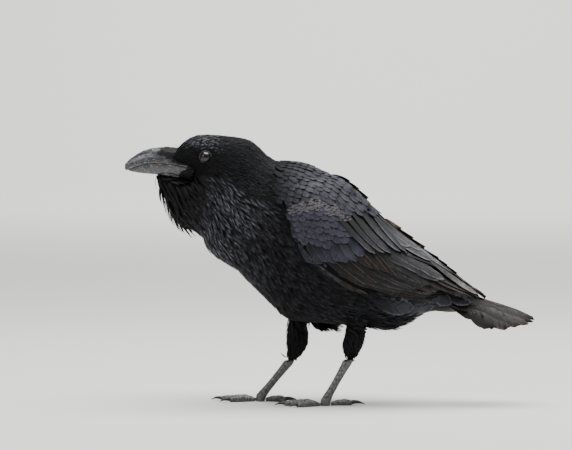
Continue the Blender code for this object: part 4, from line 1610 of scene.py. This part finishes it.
# ---- tail
@dataclass
class Tail:
    """Twelve worn tail feathers, the middle pair on top, over a plate painted dark as the shade beneath them.

    tips are (x, y) from the middle feather outwards, layer is how far each lies under the next one in,
    droop how far its outer edge hangs and rise how far the fan lifts towards its end. rise_at, plate_end
    and plate_fade are a place along the tail and what happens from there: the stretch of the rise, the
    plate's shrinking, and the stretch over which it sinks to between the two depths of plate_depth.
    """

    tips: Outline = ((533.5, 3.0), (532.0, 8.5), (526.0, 14.0), (515.0, 19.0), (501.0, 23.5), (485.0, 26.0))
    root_x: float = 404.0
    root_step: float = 1.7
    width: float = 15.0
    tones: tuple[float, ...] = (0.55, 0.15, 1.05, 0.3, 0.7, 0.12)
    layer: float = 1.3
    droop: float = 2.4
    rise: float = 3.2
    rise_at: Pair = (470.0, 40.0)
    sink: float = 0.8
    thickness: float = 0.25
    rounding: float = 3.0
    notches: int = 8
    seen: Pair = (418.0, 532.0)
    half_span: float = 30.0
    grain: float = 3.0
    plate_sink: float = 1.2
    plate_end: Pair = (424.0, 0.3)
    plate_taper: tuple[Pair, Pair] = ((400.0, 425.0), (1.0, 0.6))
    plate_depth: Pair = (9.0, 3.0)
    plate_fade: Pair = (402.0, 10.0)
    node: str = "tail"

    def surface(self) -> np.ndarray:
        """Fits a smooth sheet to the top of the tail's solid.

        Returns:
            Factors of the sheet's height for the terms of `terms`.
        """
        tree = tree_of_nodes(self.node)
        seen = []
        for x in np.arange(*self.seen, self.grain):
            for y in np.arange(-self.half_span, self.half_span + 1.0, self.grain):
                hit = tree.ray_cast(at(x, y, 260.0), Vector((0.0, 0.0, -1.0)), 0.3)[0]
                if hit is not None:
                    seen.append((x, y, hit.z / MM))
        seen = np.array(seen)
        return np.linalg.lstsq(self.terms(seen[:, 0], seen[:, 1]), seen[:, 2], rcond=None)[0]

    @staticmethod
    def terms(x: np.ndarray, y: np.ndarray) -> np.ndarray:
        """Works out the terms of the sheet's height: a cubic along the tail and a ridged arch across it.

        Args:
            x: How far places lie behind the bill's tip.
            y: How far they lie to the side.

        Returns:
            A row of terms for each place.
        """
        u, v = (x - 470.0) / 60.0, y / 30.0
        ridge = np.sqrt(v * v + 0.01)
        return np.stack([np.ones_like(u), u, u * u, u ** 3, v, v * v, u * v * v, u * v, ridge, u * ridge], 1)

    def feathers(self) -> Object:
        """Lays the twelve feathers.

        Returns:
            The fan as one piece.
        """
        factors = self.surface()
        mesh = FeatherMesh("tail_feathers", LONG, RECTRIX)
        along, over, side = mesh.shape.T
        start, fade = self.rise_at
        for k, (tip_x, tip_y) in reversed(list(enumerate(self.tips))):
            for flank in Side:
                root_y = self.root_step * (k + 0.5)
                y = flank.value * (root_y + (tip_y - root_y) * along)
                x = self.root_x + (tip_x + RNG.normal(0.0, 1.0) - self.root_x) * along
                y = y + LONG.half_width(along) * over * 0.5 * self.width * fray(along, over, self.notches)
                x = x - self.rounding * over ** 2 * along ** 4
                z = self.terms(x, y) @ factors - self.sink - self.layer * k + self.thickness * side
                z = (z - self.droop * np.maximum(flank.value * over, 0.0) ** 1.5
                     + self.rise * np.clip((x - start) / fade, 0.0, 1.0))
                mesh.add(in_metres(np.stack([x, y, z], 1))[None], self.tones[k] + RNG.uniform(-0.1, 0.1, 1),
                         [tip_x - self.root_x], [self.width])
        return mesh.build()

    def build(self) -> None:
        """Builds the tail and hands it over."""
        plate = copy_nodes("tail_plate", self.node)
        apply_modifier(plate, "SUBSURF", levels=1, render_levels=1)
        points = coordinates(plate) - normals_of(plate) * self.plate_sink * MM
        x = (points[:, 0] - BILL_TIP_X) / MM
        end, shrink = self.plate_end
        points[:, 0] = BILL_TIP_X + np.where(x > end, end + (x - end) * shrink, x) * MM
        points[:, 1] *= np.interp(x, *self.plate_taper)
        sheet = self.terms(np.maximum(in_mm(points)[:, 0], self.seen[0]), in_mm(points)[:, 1]) @ self.surface()
        deepest, highest = self.plate_depth
        lifted = np.clip(points[:, 2] / MM, sheet - deepest, sheet - highest) * MM
        start, fade = self.plate_fade
        points[:, 2] += (lifted - points[:, 2]) * np.clip((x - start) / fade, 0.0, 1.0)
        move_to(plate, points)
        plate.data.materials.append(SHADE_BLACK.material())
        hand_over(plate, "flight_plumage", self.node)
        hand_over(self.feathers(), "flight_plumage")


# ---- bill
@dataclass(frozen=True)
class Bristles:
    """A patch of bristles: its outline in side view, how many on each side, how long, and how far they droop."""

    name: str
    outline: Outline
    count: int
    lengths: Pair
    slope: float


NOSE = Bristles("nasal_bristles", ((51, 326), (62, 320), (74, 315), (88, 310.5), (88, 336), (60, 336), (52, 331)),
                520, (7.0, 12.0), 0.12)
CHIN = Bristles("chin_bristles", ((74, 295), (78, 303), (86, 307), (96, 309), (96, 288), (84, 289)),
                260, (5.0, 8.0), 0.35)
GAPE = Bristles("gape_bristles", ((85, 303), (86, 312), (96, 314), (96, 303)), 120, (4.0, 6.0), 0.35)


@dataclass
class Bill:
    """Both halves of the bill, and the bristles that lie forward over its base.

    sole is the lower edge of the lower half and jowl how far it hangs below the CAD node along its
    length. fill closes the gap between the halves, tip_grow and tip_reach blunt and lengthen the tip,
    ridge is how bright a highlight is painted along the upper half's ridge, and lining how deep the mouth's
    filling lies, painted dark as the shade inside the mouth.
    """

    voxel: float = 0.6
    bristle: Vane = Vane(3, 2, 0.35, 0.6, 1.0)
    bristle_widths: Pair = (0.6, 0.9)
    bristle_arch: float = 1.3
    fill: float = 0.42
    tip_length: float = 12.0
    tip_grow: float = 0.6
    tip_reach: float = 1.4
    jowl_height: float = 8.0
    painted_light_height: Pair = (4.2, 1.5)
    painted_light_start: Pair = (46.0, 8.0)
    ridge_end: Pair = (50.0, 14.0)
    sole: Outline = ((40, 298), (60, 296.7), (70, 295.3), (80, 293.3), (88, 291.5))
    jowl: Outline = ((42.0, 0.0), (58.0, 1.4), (72.0, 2.6), (92.0, 3.4))
    ridge: float = 0.62
    lining: float = 1.3

    def half(self, node: str) -> Object:
        """Shapes one half of the bill: blunt tip, deep jowl, cutting edges that meet.

        Args:
            node: The CAD node that it stands for.

        Returns:
            The half, with the attributes "edge" along its cutting edge and "brim" where light is painted in: a
            paler band of light thrown up onto the lower edge of the lower half, and a highlight along the ridge of
            the upper one.
        """
        piece = smooth_copy(f"{node}_horn", node, self.voxel, 5, 0.25)
        other = "bill_lower" if node == "bill_upper" else "bill_upper"
        facing = tree_of(NODES[other])
        points, normals = coordinates(piece), normals_of(piece)
        found = [facing.find_nearest(Vector(point)) for point in points]
        gap = np.array([near[3] for near in found]) / MM
        towards = np.array([near[0] for near in found]) - points
        closeness = np.exp(-np.maximum(gap - 2.2, 0.0) / 1.5)
        points += towards * self.fill * np.clip(1.6 - 0.4 * gap, 0.0, 1.0)[:, None]
        x, _, z = in_mm(points).T
        tip = np.clip(1.0 - x / self.tip_length, 0.0, 1.0)
        points += normals * self.tip_grow * MM * tip[:, None]
        points[:, 0] = np.maximum(points[:, 0] - self.tip_reach * MM * tip ** 2, BILL_TIP_X + 0.05 * MM)
        sole = np.interp(x, *zip(*self.sole))
        if node == "bill_lower":
            hang = np.clip((sole + self.jowl_height - z) / self.jowl_height, 0.0, 1.0)
            points[:, 2] -= np.interp(x, *zip(*self.jowl)) * hang * MM
            # A band of painted light, thrown up from below, along the lower edge of the lower half.
            (height, fade), (start, reach) = self.painted_light_height, self.painted_light_start
            painted_light = np.clip((sole + height - z) / fade, 0.0, 1.0) * np.clip((x - start) / reach, 0.0, 1.0)
        else:
            # A highlight painted where the upper half's ridge faces up to the light.
            end, fade = self.ridge_end
            upwards = np.clip((normals[:, 2] - 0.6) / 0.3, 0.0, 1.0)
            painted_light = self.ridge * upwards * np.clip((end - x) / fade, 0.0, 1.0)
        move_to(piece, points)
        for name, values in (("edge", closeness), ("painted_light", painted_light)):
            mark = piece.data.attributes.new(name, "FLOAT", "POINT")
            mark.data.foreach_set("value", values.astype(np.float32))
        dress(piece, HORN.material())
        return piece

    def whiskers(self, patch: Bristles, horn: Object) -> Object:
        """Lays bristles forwards over both sides of one half of the bill.

        Args:
            patch: Where they stand and how long they are.
            horn: The half that carries them.

        Returns:
            The bristles as one piece.
        """
        mesh = FeatherMesh(patch.name, self.bristle, BRISTLE)
        tree = tree_of(horn)
        along, over, side = mesh.shape.T
        half = self.bristle.half_width(along) * over
        low, high = np.min(patch.outline, axis=0), np.max(patch.outline, axis=0)
        for flank in Side:
            placed = 0
            while placed < patch.count:
                x, z = RNG.uniform(low, high)
                if inside(patch.outline, x, z) < 0.0:
                    continue
                placed += 1
                start, inwards = at(x, flank.value * 40.0, z), Vector((0.0, -flank.value, 0.0))
                hit, normal, _, _ = tree.ray_cast(start, inwards, 50.0 * MM)
                if hit is None:
                    continue
                way = Vector((-1.0, 0.0, -patch.slope + RNG.normal(0.0, 0.1)))
                way = (way - normal * way.dot(normal)).normalized()
                length, width = RNG.uniform(*patch.lengths), RNG.uniform(*self.bristle_widths)
                forward, beside = length * along, width * half + RNG.normal(0.0, 0.03) * length * along ** 2
                arch = np.sin(np.pi * np.minimum(along + 0.1, 1.0)) ** 0.8 * (1.0 - 0.55 * along)
                frame_of = np.array((way, normal.cross(way), normal))
                steps = np.stack([forward, beside, self.bristle_arch * arch - 0.3 + 0.2 * side], 1)
                mesh.add((np.array(hit) + steps @ frame_of * MM)[None], RNG.random(1) ** 1.5, [length], [width])
        return mesh.build()

    def mouth(self) -> Object:
        """Fills the inside of the bill with black as painted shade, so that the line between its halves is dark.

        Returns:
            The filling.
        """
        core = copy_nodes("mouth_lining", "bill_upper", "bill_lower", grow=0.6)
        remesh(core, self.voxel)
        with editing():
            bpy.ops.transform.shrink_fatten(value=-self.lining * MM)
        apply_modifier(core, "SMOOTH", factor=0.5, iterations=3)
        core.data.materials.append(SHADE_BLACK.material())
        return core

    def build(self) -> None:
        """Builds the bill and hands it over."""
        upper, lower = self.half("bill_upper"), self.half("bill_lower")
        hand_over(upper, "bill_horn", "bill_upper")
        hand_over(lower, "bill_horn", "bill_lower")
        for patch, horn in ((NOSE, upper), (CHIN, lower), (GAPE, upper)):
            hand_over(self.whiskers(patch, horn), "plumage")
        hand_over(self.mouth(), "bill_horn")


# ---- eyes
@dataclass
class Eye:
    """One eyeball with its wet cornea, and the bare lids round it.

    shift moves the ball back from the CAD node's middle. The pupil ends between the distances of pupil
    from a point that lies pupil_at outwards from the ball's middle.
    """

    side: Side
    opening: float = 6.9
    lid: float = 1.1
    lid_gap: float = 0.35
    lid_scale: Triple = (1.02, 1.0, 0.62)
    shift: float = 1.2
    pupil: Pair = (2.7, 3.4)
    pupil_at: float = 8.0

    @property
    def node(self) -> str:
        """Name of the CAD node of this eye."""
        return f"eye_{self.side.name.lower()}"

    def material(self, middle: Vector, outward: Vector) -> Material:
        """Builds a wet cornea over a dark brown iris and a black pupil, with a mirror-like gloss.

        Args:
            middle: Middle of the eyeball.
            outward: The way it looks.

        Returns:
            The material, on Object coordinates.
        """
        made, tree = blank_material("wet_dark_eye")
        here = add_node(tree, "TexCoord").outputs["Object"]
        gap = add_node(tree, "VectorMath", {1: middle + outward * self.pupil_at * MM}, {0: here},
                       operation="DISTANCE")
        ring = add_node(tree, "MapRange", dict(zip(RANGE, np.multiply(self.pupil, MM))),
                        {"Value": gap.outputs["Value"]}, interpolation_type="SMOOTHSTEP")
        colour = add_node(tree, "Mix", {6: linear("#030303"), 7: linear("#150d08")}, {0: ring}, data_type="RGBA")
        shader = add_node(tree, "BsdfPrincipled", {"Roughness": 0.06}, {"Base Color": colour.outputs[2]})
        add_node(tree, "OutputMaterial", links={"Surface": shader})
        return made

    def build(self) -> None:
        """Builds the eye and hands it over."""
        low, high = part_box(self.node)
        middle, radius = (low + high) / 2.0 + Vector((self.shift * MM, 0.0, 0.0)), (high.x - low.x) / 2.0
        outward = Vector((0.08, self.side.value, 0.08)).normalized()
        turn = outward.to_track_quat("Z", "Y").to_euler()
        bpy.ops.mesh.primitive_uv_sphere_add(segments=48, ring_count=32, radius=radius - 0.05 * MM, location=middle,
                                             rotation=turn)
        ball = bpy.context.view_layer.objects.active
        ball.name = f"{self.node}_ball"
        bpy.ops.object.transform_apply(location=True, rotation=True, scale=True)
        dress(ball, self.material(middle, outward))
        hand_over(ball, "eye", self.node)
        height = math.sqrt(radius ** 2 - (self.opening * MM) ** 2)
        bpy.ops.mesh.primitive_torus_add(major_segments=56, minor_segments=14,
                                         major_radius=(self.opening + self.lid_gap) * MM,
                                         minor_radius=self.lid * MM)
        lid = bpy.context.view_layer.objects.active
        lid.name = f"{self.node}_lids"
        with editing():
            bpy.ops.transform.resize(value=self.lid_scale)
        lid.rotation_euler, lid.location = turn, middle + outward * height
        bpy.ops.object.transform_apply(location=True, rotation=True, scale=True)
        dress(lid, LID.material())
        hand_over(lid, "eye")


# ---- legs
@dataclass
class Leg:
    """One bare leg: shaft, toes and claws, with overlapping scutes down the front."""

    side: Side
    voxel: float = 0.6
    shank_scutes: int = 9
    toe_scutes: int = 7
    wrap: float = 80.0
    toes: tuple[str, ...] = ("back", "inner", "middle", "outer")
    plate: Vane = Vane(4, 8, 0.5, 1.0, 0.1)
    overlap: float = 1.25
    bow: float = 0.25
    plate_rise: Pair = (0.05, 0.45)
    thickness: float = 0.12
    slice: float = 2.0

    def horn(self, node: str, finish: MottledHorn, slot: str) -> Object:
        """Hands over a smooth copy of a node.

        Args:
            node: The CAD node.
            finish: Its finish.
            slot: Its material slot.

        Returns:
            The copy.
        """
        piece = smooth_copy(f"{node}_skin", node, self.voxel, 3, 0.3)
        dress(piece, finish.material())
        hand_over(piece, slot, node)
        return piece

    def scutes(self, limb: Object, count: int, front: Vector, span: Pair) -> None:
        """Lays overlapping plates of horn along the front of a limb, each over the root of the next.

        Args:
            limb: The shank or toe, already smooth.
            count: How many plates.
            front: The way the plates face, roughly.
            span: The shares of the limb's length between which they lie.
        """
        points = coordinates(limb)
        middle = points.mean(0)
        axis = np.linalg.svd(points - middle, full_matrices=False)[2][0]
        axis *= -1.0 if axis[2] > 0.05 or (abs(axis[2]) <= 0.05 and axis[0] > 0.0) else 1.0
        places = (points - middle) @ axis
        low, high = places.min(), places.max()
        face = np.array(front) - axis * np.dot(front, axis)
        face /= np.linalg.norm(face)
        beside = np.cross(axis, face)
        tree = tree_of(limb)
        mesh = FeatherMesh(f"{limb.name}_scutes", self.plate, PLATE)
        along, over, side = mesh.shape.T
        step = (high - low) * (span[1] - span[0]) / count
        for k in range(count):
            start = low + (high - low) * span[0] + step * k
            spots = start + step * self.overlap * along + self.bow * step * (1.0 - over ** 2) * along
            turned = np.radians(self.wrap) * over
            rays = np.cos(turned)[:, None] * face + np.sin(turned)[:, None] * beside
            rises = (self.plate_rise[0] + self.plate_rise[1] * along
                     + self.thickness * side * (1.0 - np.abs(over)))
            shell = []
            for spot, ray, rise in zip(spots, rays, rises):
                near = points[np.abs(places - spot) < self.slice * MM]
                centre = near.mean(0) if len(near) else middle + axis * spot
                centre = centre + axis * (spot - (centre - middle) @ axis)
                hit = tree.ray_cast(Vector(centre + ray * 0.03), Vector(-ray), 0.03)[0]
                shell.append((np.array(hit) if hit else centre) + ray * rise * MM)
            mesh.add(np.array(shell)[None], [1.0], [step / MM], [6.0])
        hand_over(mesh.build(), "leg_scales")

    def build(self) -> None:
        """Builds the leg and hands it over."""
        name = self.side.name.lower()
        shank = self.horn(f"tarsus_{name}", SCUTE, "leg_scales")
        self.scutes(shank, self.shank_scutes, Vector((-1.0, 0.0, 0.6)), (0.05, 0.88))
        for toe in self.toes:
            piece = self.horn(f"toe_{name}_{toe}", SCUTE, "leg_scales")
            self.scutes(piece, self.toe_scutes, Vector((0.0, 0.0, 1.0)), (0.15, 0.95))
            self.horn(f"claw_{name}_{toe}", CLAW, "claw_horn")


# ---- studio
@dataclass(frozen=True)
class Panel:
    """A round soft light: its place, its width, its power in watts and what it points at."""

    name: str
    place: Triple
    width: float
    watts: float
    aim: Triple


@dataclass
class Studio:
    """Plain pale floor and backdrop, soft lights from above and a long lens at the bird's height, in metres."""

    target: Triple = (-0.0572, 0.0, 0.2327)
    distance: float = 5.16
    azimuth: float = 3.0
    elevation: float = 3.0
    lens: float = 249.8
    floor_size: float = 14.0
    floor_shift: float = 2.0
    wall_height: float = 5.0
    cove: float = 2.5
    panels: tuple[Panel, ...] = (
        Panel("sky_panel", (0.3, 0.1, 2.8), 3.0, 210.0, target),
        Panel("front_panel", (-2.2, -2.4, 1.8), 1.4, 25.0, target),
        Panel("backdrop_panel", (0.0, 5.0, 4.5), 4.0, 500.0, (0.0, 9.0, 1.5)),
    )

    def backdrop(self) -> None:
        """Builds a floor of matt paper that curves up into a wall behind the bird."""
        bpy.ops.mesh.primitive_plane_add(size=self.floor_size, location=(0.0, self.floor_shift, 0.0))
        floor = bpy.context.view_layer.objects.active
        floor.name = "studio_floor"
        bpy.ops.object.transform_apply(location=True, rotation=False, scale=False)
        bpy.ops.object.mode_set(mode="EDIT")
        bpy.ops.mesh.select_all(action="DESELECT")
        mesh = bmesh.from_edit_mesh(floor.data)
        for edge in mesh.edges:
            edge.select_set(all(v.co.y > self.floor_size / 2.0 for v in edge.verts))
        bmesh.update_edit_mesh(floor.data)
        bpy.ops.mesh.extrude_region_move(TRANSFORM_OT_translate={"value": (0.0, 0.0, self.wall_height)})
        bpy.ops.object.mode_set(mode="OBJECT")
        apply_modifier(floor, "BEVEL", width=self.cove, segments=12)
        paper, tree = blank_material("pale_studio_paper")
        shader = add_node(tree, "BsdfPrincipled", {"Base Color": linear("#d9d8d5"), "Roughness": 0.9})
        add_node(tree, "OutputMaterial", links={"Surface": shader})
        dress(floor, paper)

    def light(self) -> None:
        """Builds the air's own light and the panels."""
        world = bpy.data.worlds.new("studio_air")
        bpy.context.scene.world = world
        world.use_nodes = True
        air = world.node_tree.nodes["Background"].inputs
        air["Color"].default_value, air["Strength"].default_value = linear("#e6e9ee"), 0.45
        for panel in self.panels:
            light = bpy.data.lights.new(panel.name, "AREA")
            light.shape, light.size, light.energy = "DISK", panel.width, panel.watts
            lamp = bpy.data.objects.new(panel.name, light)
            lamp.location = panel.place
            away = Vector(panel.aim) - Vector(panel.place)
            lamp.rotation_euler = away.to_track_quat("-Z", "Y").to_euler()
            bpy.context.scene.collection.objects.link(lamp)

    def build(self) -> None:
        """Builds the floor, the lights and the camera."""
        self.backdrop()
        self.light()
        turn, rise = math.radians(self.azimuth), math.radians(self.elevation)
        away = Vector((math.sin(turn) * math.cos(rise), -math.cos(turn) * math.cos(rise), math.sin(rise)))
        view = bpy.data.cameras.new("camera")
        view.lens, view.sensor_width, view.clip_end = self.lens, 36.0, 60.0
        camera = bpy.data.objects.new("camera", view)
        camera.location = Vector(self.target) + away * self.distance
        camera.rotation_euler = (-away).to_track_quat("-Z", "Y").to_euler()
        bpy.context.scene.collection.objects.link(camera)
        bpy.context.scene.camera = camera


def main() -> None:
    """Builds every sub-assembly in order."""
    logging.basicConfig(level=logging.INFO, format="%(name)s: %(message)s")
    for obj in bpy.context.view_layer.objects:
        obj.select_set(False)
    Studio().build()
    sheet = BodySheet()
    skin = Skin()
    hand_over(skin.build(), "plumage", *skin.nodes)
    for piece in Coat(skin).build(tree_of_nodes(*WINGS)):
        hand_over(piece, "plumage")
    for side in Side:
        Wing(side, sheet).build()
        Eye(side).build()
        Leg(side).build()
    Tail().build()
    Bill().build()


if __name__ == "__main__":
    main()
